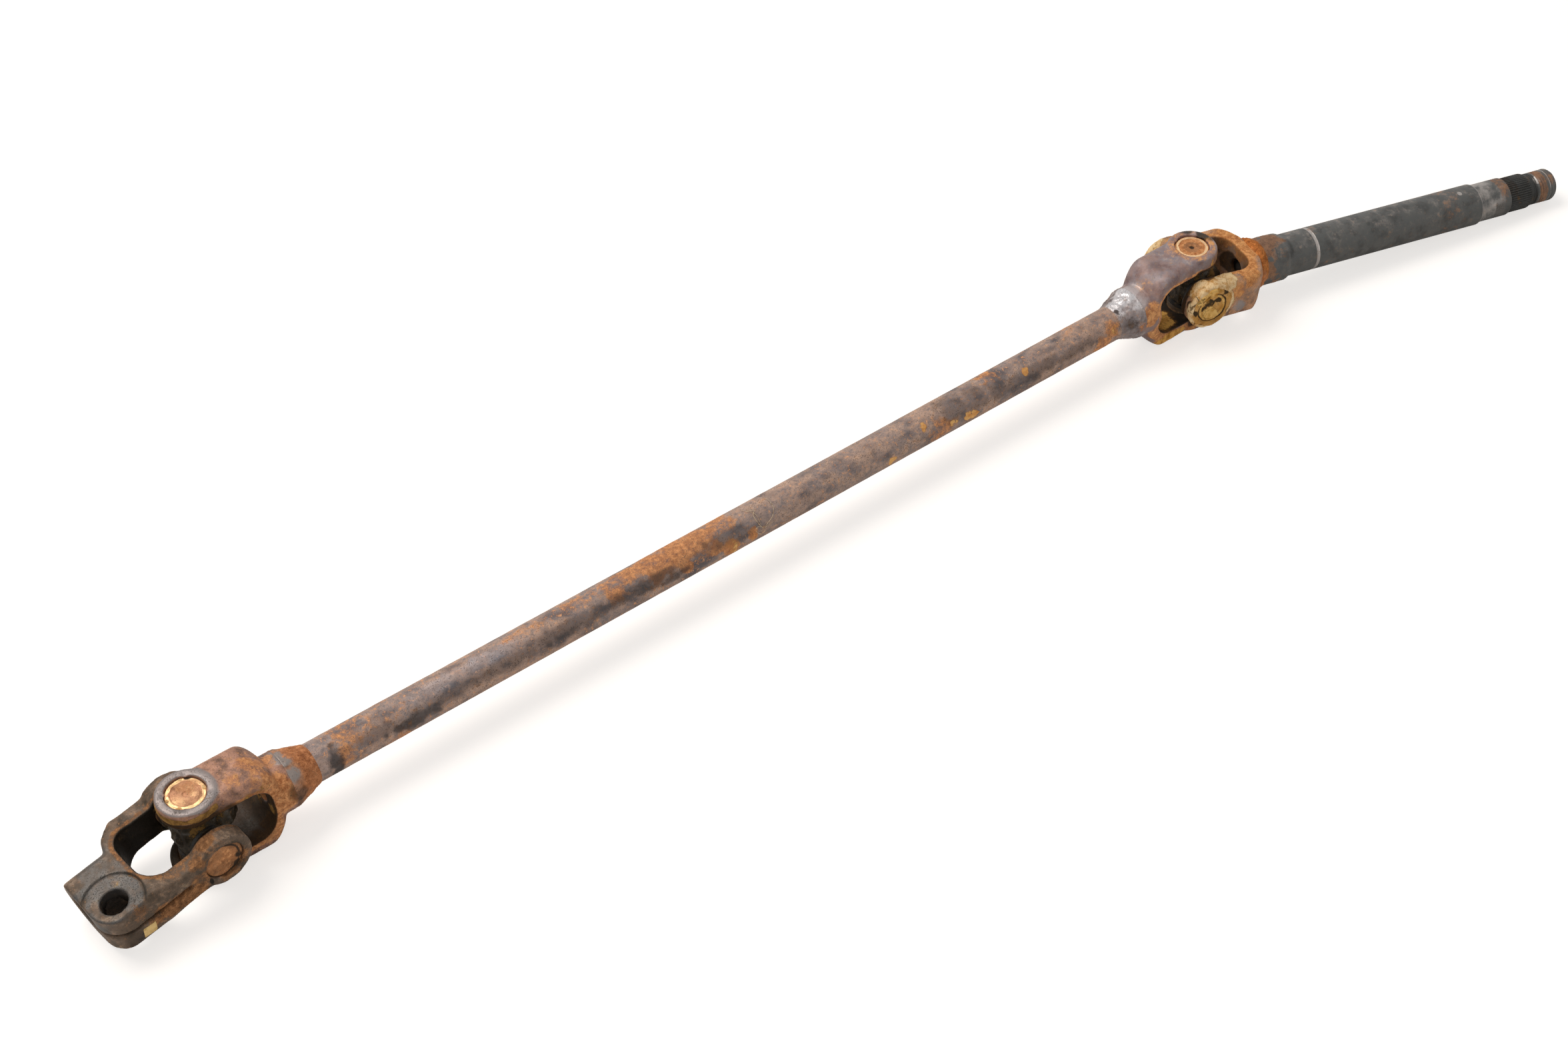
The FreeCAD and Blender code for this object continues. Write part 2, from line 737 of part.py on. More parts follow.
def bearing_cup(label, placement):
    """A drawn cup with a dimpled floor, pressed into an ear and open toward the cross."""
    turned(label, placement, [
        ("cup_mouth", "cup_inner_radius"),
        ("cup_floor_face", "cup_inner_radius"),
        ("cup_floor_face", "0"),
        ("cup_dimple_face", "0"),
        ("cup_dimple_face", "dimple_radius"),
        ("cup_face", "dimple_radius"),
        ("cup_face", "cup_face_radius"),
        ("cup_shoulder", "cup_radius"),
        ("cup_mouth", "cup_radius"),
    ])


def needle_set(label, placement):
    """The ring of loose needles between a trunnion and its cup, as separate solids."""
    count = int(size("needle_count"))
    needle = Part.makeCylinder(size("needle_radius"), size("needle_length"),
                               Vector(size("needle_start"), size("needle_pitch_radius"), 0), X_AXIS)
    ring = []
    for index in range(count):
        turn = Rotation(X_AXIS, 360.0 * index / count)
        ring.append(needle.transformGeometry(Placement(Vector(), turn).toMatrix()))
    needles = doc.addObject("Part::Feature", label)
    needles.Label = label
    needles.Shape = Part.makeCompound(ring)
    keep(needles, placement)


def seal(label, placement):
    """The rubber ring between a cross's collar and the mouth of a cup."""
    turned(label, placement, [
        ("seal_start", "seal_bore"),
        ("seal_end", "seal_bore"),
        ("seal_end", "seal_radius"),
        ("seal_start", "seal_radius"),
    ])


# rest pose

def resting_angle(height, contacts):
    """Returns the slope in degrees that lets a limb touch the ground.

    height is the pivot's height. contacts are (reach, radius) of the edges that may touch.
    """
    slopes = []
    for reach, radius in contacts:
        lean = math.asin(height / math.hypot(reach, radius)) - math.atan2(radius, reach)
        slopes.append(math.degrees(lean))
    return min(slopes)


def clamp_slope():
    """Slope of the clamp yoke when the end of its barrel lies on the ground."""
    return resting_angle(size("ear_reach"), [(size("clamp_length"), size("clamp_barrel_radius"))])


def shaft_slope():
    """Slope of the turned shaft when one of its edges lies on the ground."""
    edges = [("thread_end", "thread_radius"), ("spline_end", "spline_radius"),
             ("seat_end", "seat_radius"), ("shaft_shoulder", "shaft_radius")]
    return resting_angle(size("ear_reach"), [(size(a), size(b)) for a, b in edges])


def joint_frames(lower_point):
    """Returns the placement of the rod and of every body that turns on it, by name."""
    lower = Placement(lower_point, Rotation())
    upper = Placement(lower_point + Vector(size("joint_spacing"), 0, 0), Rotation())
    lower_cross = lower * Placement(Vector(), Rotation(Z_AXIS, size("clamp_yaw")))
    upper_cross = upper * Placement(Vector(), Rotation(Z_AXIS, -size("shaft_yaw")))
    facing_down = Rotation(Z_AXIS, 180)
    clamp = lower_cross * Placement(Vector(), Rotation(Y_AXIS, -clamp_slope()) * facing_down)
    shaft = upper_cross * Placement(Vector(), Rotation(Y_AXIS, shaft_slope()))
    return {"rod": lower, "rod_top": upper * Placement(Vector(), facing_down),
            "lower_cross": lower_cross, "upper_cross": upper_cross,
            "clamp": clamp, "shaft": shaft}


PIN_SIDES = {"top": Z_AXIS, "bottom": -Z_AXIS, "near": -Y_AXIS, "far": Y_AXIS}


def bearings(joint, cross_frame, yoke_frame):
    """Four cups, needle sets and seals of one joint. Top and bottom belong to the rod."""
    for side, direction in PIN_SIDES.items():
        along_pin = Placement(Vector(), Rotation(X_AXIS, direction))
        frame = yoke_frame if side in ("top", "bottom") else cross_frame
        bearing_cup("%s_%s_cup" % (joint, side), frame * along_pin)
        needle_set("%s_%s_needles" % (joint, side), frame * along_pin)
        seal("%s_%s_seal" % (joint, side), cross_frame * along_pin)


def assemble():
    """Builds every sub-part at its place round the lower joint, then centres the whole."""
    frames = joint_frames(Vector(0, 0, size("ear_reach")))
    rod("rod", frames["rod"])
    rod_yoke("lower_rod_yoke", frames["rod"])
    rod_yoke("upper_rod_yoke", frames["rod_top"])
    rod_weld_bead("lower_weld_bead", frames["rod"])
    rod_weld_bead("upper_weld_bead", frames["rod_top"])
    cross("lower_cross", frames["lower_cross"])
    cross("upper_cross", frames["upper_cross"])
    bearings("lower", frames["lower_cross"], frames["rod"])
    bearings("upper", frames["upper_cross"], frames["rod_top"])
    clamp_yoke("clamp_yoke", frames["clamp"])
    upright = Placement(Vector(), Rotation(X_AXIS, 90))
    shaft_yoke("shaft_yoke", frames["shaft"] * upright)
    upper_shaft("upper_shaft", frames["shaft"])
    shaft_weld_bead("shaft_weld_bead", frames["shaft"])
    doc.recompute()
    return centre_on_origin()


def centre_on_origin():
    """Moves every sub-part so that the bounding box is centred over the origin."""
    box = FreeCAD.BoundBox()
    for node in nodes:
        box.add(node.Shape.optimalBoundingBox(False, False))
    shift = Placement(Vector(-box.Center.x, -box.Center.y, 0), Rotation())
    for node in nodes:
        node.Placement = shift * node.Placement
    doc.recompute()
    return shift


def check_document():
    """Stops if any object failed to rebuild or a sub-part has no sound solid."""
    for item in doc.Objects:
        if "Invalid" in item.State or "Error" in item.State:
            raise RuntimeError("%s did not rebuild: %s" % (item.Label, item.State))
    for node in nodes:
        if node.Shape.isNull() or not node.Shape.isValid() or not node.Shape.Solids:
            raise RuntimeError("%s has no sound solid" % node.Label)


def write_parts():
    """Writes each sub-part to its own file."""
    os.makedirs("parts", exist_ok=True)
    for node in nodes:
        node.Shape.exportStep("parts/%s.step" % node.Label)


fill_sheet()
origin_shift = assemble()
check_document()
write_parts()
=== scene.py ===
"""Looks of a used steering stem shaft: forged yokes, rough welds, a rusty rod, a black shaft."""
import sys

import json
import logging
import math
from collections.abc import Callable
from dataclasses import dataclass, replace
from enum import Enum
from functools import cached_property, partial

import bmesh
import bpy
import numpy as np
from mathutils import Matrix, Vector

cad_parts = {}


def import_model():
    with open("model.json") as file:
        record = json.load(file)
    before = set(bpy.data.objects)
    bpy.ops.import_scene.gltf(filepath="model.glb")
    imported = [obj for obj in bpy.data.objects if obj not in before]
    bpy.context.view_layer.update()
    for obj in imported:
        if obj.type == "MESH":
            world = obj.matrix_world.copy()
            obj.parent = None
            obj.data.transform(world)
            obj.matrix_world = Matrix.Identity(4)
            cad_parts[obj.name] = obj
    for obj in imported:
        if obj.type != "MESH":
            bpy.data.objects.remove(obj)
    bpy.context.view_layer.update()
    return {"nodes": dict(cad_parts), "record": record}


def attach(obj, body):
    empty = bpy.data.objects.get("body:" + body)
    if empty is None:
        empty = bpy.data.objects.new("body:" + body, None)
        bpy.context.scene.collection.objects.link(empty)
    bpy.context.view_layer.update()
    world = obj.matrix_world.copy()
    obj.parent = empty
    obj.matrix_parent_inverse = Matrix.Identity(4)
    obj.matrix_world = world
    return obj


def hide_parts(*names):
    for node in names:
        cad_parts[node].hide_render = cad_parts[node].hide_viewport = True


MM = 0.001
GROUND = 0.00002
HASH_STEPS = np.array([374761393, 668265263, 1440662683])
HASH_SEED, HASH_MIX, HASH_BITS = 974634777, 1274126177, 0xFFFFFFFF
SOFT_BORDER, SHARP_BORDER = (0.35, 1.15), (0.8, 1.0)
Triple = tuple[float, float, float]
Colour = Triple
log = logging.getLogger("stem_shaft")


class Channel(Enum):
    """What can lie on the steel at one place, each a vertex attribute from 0 to 1."""

    RUST = "rust"
    MUD = "mud"
    BARE = "bare"
    # Black dirt, and also painted shade: in hollows, inside the forks, in the clamp's slit and
    # bolt hole, and a dark band down the rod's near side.
    SOOT = "soot"


@dataclass(frozen=True)
class Patch:
    """A soft-edged area of one channel, or a ring of it in the plane across its axis."""

    channel: Channel
    x: float
    y: float
    z: float
    radius: float
    strength: float = 1.0
    stretch: Triple = (1.0, 1.0, 1.0)
    ragged: float = 0.35
    ring: float = 0.0
    axis: int = 2
    square: bool = False


rust, mud, bare, soot = (partial(Patch, channel) for channel in Channel)


@dataclass(frozen=True)
class Limb:
    """One limb's frame: a joint centre in metres and unit axes as the rows of a matrix."""

    origin: np.ndarray
    axes: np.ndarray
    joints: np.ndarray

    def local(self, points: np.ndarray) -> np.ndarray:
        """Row-frame metres to the limb's own millimetres."""
        return (points - self.origin) @ self.axes.T / MM

    def world(self, points: np.ndarray) -> np.ndarray:
        """The limb's own millimetres to row-frame metres."""
        return self.origin + points @ self.axes * MM

    def near(self, points: np.ndarray) -> np.ndarray:
        """Millimetres from each point's nearer joint centre, along the row frame's axes."""
        offsets = (points - self.joints[:, None]) / MM
        nearest = np.argmin(np.linalg.norm(offsets, axis=2), axis=0)
        return offsets[nearest, np.arange(len(points))]

    def turned_to(self, direction: int, side: int) -> "Limb":
        """The frame turned so that its first axis runs out along a pin, right-handed too.

        Args:
            direction: The limb axis that the pin lies on.
            side: 1 or -1, the end of the pin.

        Returns:
            The turned frame.
        """
        sign = np.array([side, 1, side])
        return replace(self, axes=np.roll(self.axes, -direction, axis=0) * sign[:, None])


# noise on whole arrays

def lattice_noise(points: np.ndarray, seed: int) -> np.ndarray:
    """Smooth noise: hashed values at whole-number corners, blended by t * t * (3 - 2 t).

    Args:
        points: An (n, 3) array, one unit per lattice cell.
        seed: Picks the pattern.

    Returns:
        n values from -1 to 1.
    """
    base = np.floor(points).astype(np.int64)
    part = points - base
    blend = part * part * (3 - 2 * part)
    total = np.zeros(len(points))
    for corner in range(8):
        offset = np.array([corner & 1, corner >> 1 & 1, corner >> 2 & 1])
        mixed = ((base + offset) @ HASH_STEPS + seed * HASH_SEED) & HASH_BITS
        mixed = ((mixed ^ (mixed >> 13)) * HASH_MIX) & HASH_BITS
        mixed = mixed ^ (mixed >> 16)
        weight = np.where(offset == 1, blend, 1 - blend).prod(axis=1)
        total += weight * (mixed & 0xFFFF) / 32767.5
    return total - 1


def layered_noise(points: np.ndarray, size: float, seed: int, octaves: int = 3) -> np.ndarray:
    """A sum of octaves, each half as large and half as strong as the one before.

    Args:
        points: Places in mm, an array whose last axis holds x, y and z.
        size: Size of the largest feature in mm.
        seed: Picks the pattern.
        octaves: How many octaves are added.

    Returns:
        One value a place, mostly from -1 to 1.
    """
    flat = points.reshape(-1, 3)
    total = np.zeros(len(flat))
    for octave in range(octaves):
        total += lattice_noise(flat / size * 2 ** octave, seed + octave) / 2 ** octave
    return (total / 1.5).reshape(points.shape[:-1])


def ramp(values: np.ndarray, low: float, high: float) -> np.ndarray:
    """Smooth step from 0 at low to 1 at high."""
    part = np.clip((values - low) / (high - low), 0, 1)
    return part * part * (3 - 2 * part)


def patch_masks(near: np.ndarray, patches: tuple[Patch, ...], seed: int,
                grain: float = 5.0) -> dict[Channel, np.ndarray]:
    """Strength of each channel: 1 inside a patch, 0 outside, with a noisy border between.

    The distance from the centre is divided by the radius. A ring takes the distance from
    a circle round the centre, and a square patch the largest of the three distances.

    Args:
        near: An (n, 3) array in mm, in the axes that the patches are given in.
        patches: The areas.
        seed: Picks the border's pattern.
        grain: Size of the border's largest features in mm.

    Returns:
        One array from 0 to 1 for each channel.
    """
    border = layered_noise(near, grain, seed)
    masks = {channel: np.zeros(len(near)) for channel in Channel}
    for patch in patches:
        centre = np.array([patch.x, patch.y, patch.z])
        away = (near - centre) / np.array(patch.stretch)
        if patch.ring:
            across = np.linalg.norm(np.delete(away, patch.axis, axis=1), axis=1)
            apart = np.hypot(across - patch.ring, away[:, patch.axis])
        elif patch.square:
            apart = np.abs(away).max(axis=1)
        else:
            apart = np.linalg.norm(away, axis=1)
        share = apart / patch.radius + patch.ragged * border
        border_ends = SHARP_BORDER if patch.square else SOFT_BORDER
        amount = patch.strength * (1 - ramp(share, *border_ends))
        masks[patch.channel] = np.maximum(masks[patch.channel], amount)
    return masks


def raise_masks(masks: dict[Channel, np.ndarray], more: dict[Channel, np.ndarray]) -> None:
    """Raises each channel to the larger of what it holds and what is given."""
    for channel, values in more.items():
        masks[channel] = np.maximum(masks[channel], values)


# meshes

def mesh_object(name: str, vertices: np.ndarray, *faces: np.ndarray) -> bpy.types.Object:
    """Makes a smooth-shaded mesh object from arrays, in row-frame metres.

    Args:
        name: The object's name.
        vertices: An (n, 3) array.
        *faces: Arrays of vertex numbers, one array for each number of corners.

    Returns:
        The linked object.
    """
    mesh = bpy.data.meshes.new(name)
    mesh.from_pydata(vertices.tolist(), [], [face for part in faces for face in part.tolist()])
    return linked_object(name, mesh)


def linked_object(name: str, mesh: bpy.types.Mesh) -> bpy.types.Object:
    """Shades a mesh smooth and links an object that holds it."""
    mesh.shade_smooth()
    made = bpy.data.objects.new(name, mesh)
    bpy.context.scene.collection.objects.link(made)
    return made


def grid_faces(rows: int, columns: int, closed: bool = True) -> np.ndarray:
    """Quads of a grid of points: each joins a point to the next row and the next column.

    Args:
        rows: Points along the first direction.
        columns: Points along the second direction.
        closed: Whether the last column joins the first.

    Returns:
        An array of four indices a face, wound so that the row-by-column side faces out.
    """
    row, column = np.meshgrid(np.arange(rows - 1), np.arange(columns if closed else columns - 1),
                              indexing="ij")
    across = (column + 1) % columns
    corners = [row * columns + column, row * columns + across,
               (row + 1) * columns + across, (row + 1) * columns + column]
    return np.stack([corner.ravel() for corner in corners], axis=1)


def full_turn(count: int) -> np.ndarray:
    """The angles of evenly spaced points round a circle."""
    return np.arange(count) * 2 * math.pi / count


def revolve(axial: np.ndarray, radius: np.ndarray) -> np.ndarray:
    """Places of a turned grid: axial along the axis, radius times (cos t, sin t) across it.

    Args:
        axial: Place of each row along the axis in mm, one number or one per angle.
        radius: An array of rows by angles in mm, where one row may stand for all.

    Returns:
        A (rows, angles, 3) array.
    """
    angle = full_turn(radius.shape[1])
    along = axial[:, None] if axial.ndim == 1 else axial
    return np.stack(np.broadcast_arrays(along, radius * np.cos(angle), radius * np.sin(angle)),
                    axis=2)


def turned_surface(name: str, limb: Limb, axial: np.ndarray,
                   radius: np.ndarray) -> bpy.types.Object:
    """A surface of revolution round the limb's first axis, closed by a pole at each end.

    Args:
        name: The object's name.
        limb: The frame that it is turned in.
        axial: Place of each row along the axis in mm, one number or one per angle.
        radius: An array of rows by angles in mm.

    Returns:
        The closed mesh object.
    """
    rows, columns = radius.shape
    poles = np.array([[axial[0].mean(), 0, 0], [axial[-1].mean(), 0, 0]])
    points = np.concatenate([revolve(axial, radius).reshape(-1, 3), poles])
    around = np.arange(columns)
    after = (around + 1) % columns
    end = (rows - 1) * columns
    fan = np.stack([np.full(columns, rows * columns), after, around], axis=1)
    cap = np.stack([np.full(columns, rows * columns + 1), end + around, end + after], axis=1)
    return mesh_object(name, limb.world(points), grid_faces(rows, columns), fan, cap)


def read_points(mesh: bpy.types.Mesh) -> np.ndarray:
    """Vertex places of a mesh as an (n, 3) array."""
    flat = np.empty(len(mesh.vertices) * 3)
    mesh.vertices.foreach_get("co", flat)
    return flat.reshape(-1, 3)


def read_normals(mesh: bpy.types.Mesh) -> np.ndarray:
    """Vertex normals of a mesh as an (n, 3) array."""
    flat = np.empty(len(mesh.vertices) * 3)
    mesh.vertex_normals.foreach_get("vector", flat)
    return flat.reshape(-1, 3)


def write_points(mesh: bpy.types.Mesh, points: np.ndarray) -> None:
    """Moves every vertex of a mesh, and keeps all of them above the ground."""
    lifted = points.copy()
    lifted[:, 2] = np.maximum(lifted[:, 2], GROUND)
    mesh.vertices.foreach_set("co", lifted.ravel())
    mesh.update()


def write_attribute(mesh: bpy.types.Mesh, name: str, values: np.ndarray) -> None:
    """Stores one number a vertex under a name that the materials read."""
    layer = mesh.attributes.new(name, "FLOAT", "POINT")
    layer.data.foreach_set("value", values.astype(np.float32))


@dataclass
class Neighbours:
    """Who is joined to whom in a mesh, for averages over neighbours on whole arrays."""

    pairs: np.ndarray
    count: np.ndarray

    @classmethod
    def of(cls, mesh: bpy.types.Mesh) -> "Neighbours":
        """Reads the edges of a mesh."""
        flat = np.empty(len(mesh.edges) * 2, dtype=np.int64)
        mesh.edges.foreach_get("vertices", flat)
        count = np.bincount(flat, minlength=len(mesh.vertices)).clip(1)
        return cls(flat.reshape(-1, 2), count)

    def mean(self, values: np.ndarray) -> np.ndarray:
        """Average of each vertex's neighbours, for an (n,) or (n, k) array."""
        one, two = self.pairs.T
        columns = []
        for column in values.reshape(len(self.count), -1).T:
            summed = np.bincount(one, column[two], len(self.count))
            summed += np.bincount(two, column[one], len(self.count))
            columns.append(summed / self.count)
        return np.stack(columns, axis=1).reshape(values.shape)

    def smooth(self, values: np.ndarray, rounds: int,
               share: np.ndarray | float = 0.5) -> np.ndarray:
        """Moves each value a share of the way to its neighbours' mean, some rounds over."""
        for _ in range(rounds):
            values = values + share * (self.mean(values) - values)
        return values


def store_looks(mesh: bpy.types.Mesh, masks: dict[Channel, np.ndarray]) -> None:
    """Stores every channel, and where the surface bulges or is hollow.

    A vertex is compared with the mean of the surface round it. Outwards of it is an edge,
    lightened as rubbed wear and partly as painted highlight. Inwards of it is a hollow,
    darkened as dirt and partly as painted shade.

    Args:
        mesh: The mesh that the attributes go to.
        masks: The channels, one value a vertex.
    """
    neighbours = Neighbours.of(mesh)
    points = read_points(mesh)
    normals = read_normals(mesh)
    close = neighbours.smooth(points, 6)
    wide = neighbours.smooth(close, 34)
    bulge = np.einsum("ij,ij->i", points - close, normals) / MM
    dip = np.einsum("ij,ij->i", wide - points, normals) / MM
    # edge lightens the surface as rubbed wear and partly as painted highlight; hollow darkens it
    # as dirt and partly as painted shade.
    write_attribute(mesh, "edge", neighbours.smooth(ramp(bulge, 0.03, 0.16), 2))
    write_attribute(mesh, "hollow", neighbours.smooth(ramp(dip, 0.04, 0.45), 3))
    for channel, values in masks.items():
        write_attribute(mesh, channel.value, values)


# shader building

def maths(operation: str,
          reflected: bool = False) -> Callable[["Value", "Value | float"], "Value"]:
    """Makes an operator of Value.

    Args:
        operation: The Math node's operation.
        reflected: Whether the other value comes first.

    Returns:
        A method that adds one Math node.
    """
    def method(self: "Value", other: "Value | float") -> "Value":
        """The result of one Math node."""
        pair = (other, self) if reflected else (self, other)
        node = self.graph.node("ShaderNodeMath", {"operation": operation}, dict(enumerate(pair)))
        return Value(self.graph, node.outputs[0])

    return method


@dataclass(frozen=True)
class Value:
    """A number socket on which Python's operators build Math nodes."""

    graph: "Graph"
    socket: bpy.types.NodeSocket

    __add__ = maths("ADD")
    __radd__ = maths("ADD", reflected=True)
    __sub__ = maths("SUBTRACT")
    __rsub__ = maths("SUBTRACT", reflected=True)
    __mul__ = maths("MULTIPLY")
    __rmul__ = maths("MULTIPLY", reflected=True)
    highest = maths("MAXIMUM")

    def step(self, low: float, high: float) -> "Value":
        """Smooth step from 0 at low to 1 at high."""
        node = self.graph.node("ShaderNodeMapRange", {"interpolation_type": "SMOOTHSTEP"},
                               {0: self, 1: low, 2: high, 3: 0.0, 4: 1.0})
        return Value(self.graph, node.outputs[0])


class Graph:
    """The node tree of a material or the world, and how this script adds to it."""

    def __init__(self, owner: bpy.types.Material | bpy.types.World) -> None:
        """Empties the owner's node tree."""
        owner.use_nodes = True
        self.owner = owner
        self.tree = owner.node_tree
        self.tree.nodes.clear()

    def node(self, kind: str, settings: dict[str, object] | None = None,
             inputs: dict[str | int, object] | None = None) -> bpy.types.Node:
        """Adds a node.

        Args:
            kind: The node's type.
            settings: Properties of the node, set first.
            inputs: A number, colour, value, socket or node for each named or numbered socket.

        Returns:
            The new node.
        """
        made = self.tree.nodes.new(kind)
        for key, setting in (settings or {}).items():
            setattr(made, key, setting)
        for key, given in (inputs or {}).items():
            if isinstance(given, Value):
                given = given.socket
            elif isinstance(given, bpy.types.Node):
                given = given.outputs[0]
            if isinstance(given, bpy.types.NodeSocket):
                self.tree.links.new(given, made.inputs[key])
            else:
                made.inputs[key].default_value = given
        return made

    @cached_property
    def place(self) -> bpy.types.NodeSocket:
        """The object's own coordinates."""
        return self.node("ShaderNodeTexCoord").outputs["Object"]

    def noise(self, size: float, detail: float = 3.0, roughness: float = 0.55,
              offset: float = 0.0, stretch: Triple = (1, 1, 1)) -> Value:
        """Noise around 0.5, its features about size mm, on the object's own coordinates."""
        scaled = self.node("ShaderNodeMapping", {}, {
            "Vector": self.place, "Location": (offset, offset * 0.7, -offset),
            "Scale": tuple(1 / (size * MM * part) for part in stretch)})
        made = self.node("ShaderNodeTexNoise", {"noise_dimensions": "3D"}, {
            "Vector": scaled, "Scale": 1.0, "Detail": detail, "Roughness": roughness})
        return Value(self, made.outputs["Fac"])

    def cracks(self, size: float) -> Value:
        """Distance to the nearest border between cells about size mm across."""
        wobble = self.node("ShaderNodeTexNoise", {}, {"Vector": self.place, "Scale": 420.0})
        moved = self.node("ShaderNodeVectorMath", {"operation": "MULTIPLY_ADD"}, {
            0: wobble.outputs["Color"], 1: (0.0016, 0.0016, 0.0016), 2: self.place})
        made = self.node("ShaderNodeTexVoronoi", {"feature": "DISTANCE_TO_EDGE"}, {
            "Vector": moved, "Scale": 1 / (size * MM)})
        return Value(self, made.outputs["Distance"])

    def attribute(self, name: str) -> Value:
        """Reads a number stored on the mesh."""
        made = self.node("ShaderNodeAttribute", {"attribute_name": name})
        return Value(self, made.outputs["Fac"])

    def mix(self, share: Value | float, first: object, second: object) -> bpy.types.NodeSocket:
        """Mixes two colours, each a socket or a written colour."""
        pair = [tint(item) if isinstance(item, tuple) else item for item in (first, second)]
        made = self.node("ShaderNodeMix", {"data_type": "RGBA"},
                         {0: share, 6: pair[0], 7: pair[1]})
        return made.outputs[2]

    def finish(self, shader: bpy.types.Node,
               kind: str = "Material") -> bpy.types.Material | bpy.types.World:
        """Links a shader to the output and returns what the tree belongs to."""
        self.node("ShaderNodeOutput" + kind, {}, {"Surface": shader})
        return self.owner

    def surface(self, colour: bpy.types.NodeSocket, roughness: Value | float, height: Value,
                depth: float, more: dict[str, object] | None = None) -> bpy.types.Material:
        """Ends a material with a principled shader on a bumpy surface.

        Args:
            colour: The base colour.
            roughness: The roughness.
            height: The relief of the surface.
            depth: How high a relief of 1 stands, in mm.
            more: What goes into further sockets of the shader.

        Returns:
            The material.
        """
        bump = self.node("ShaderNodeBump", {}, {"Strength": 1.0, "Distance": depth * MM,
                                                "Height": height})
        return self.finish(self.node("ShaderNodeBsdfPrincipled", {}, {
            "Base Color": colour, "Roughness": roughness, "Normal": bump, **(more or {})}))


def tint(colour: Colour) -> tuple[float, float, float, float]:
    """A colour written as 0 to 255 sRGB numbers, as linear light."""
    parts = [part / 255 for part in colour]
    linear = [part / 12.92 if part <= 0.04045 else ((part + 0.055) / 1.055) ** 2.4
              for part in parts]
    return linear[0], linear[1], linear[2], 1.0


def between(first: Colour, second: Colour, share: float = 0.5) -> Colour:
    """A colour part of the way from one to another."""
    return tuple(one + (two - one) * share for one, two in zip(first, second))


@dataclass(frozen=True)
class Finish:
    """A finish and the name that its pieces ask for it by."""

    name: str

    def graph(self) -> Graph:
        """Starts the finish's material."""
        return Graph(bpy.data.materials.new(self.name + "_finish"))


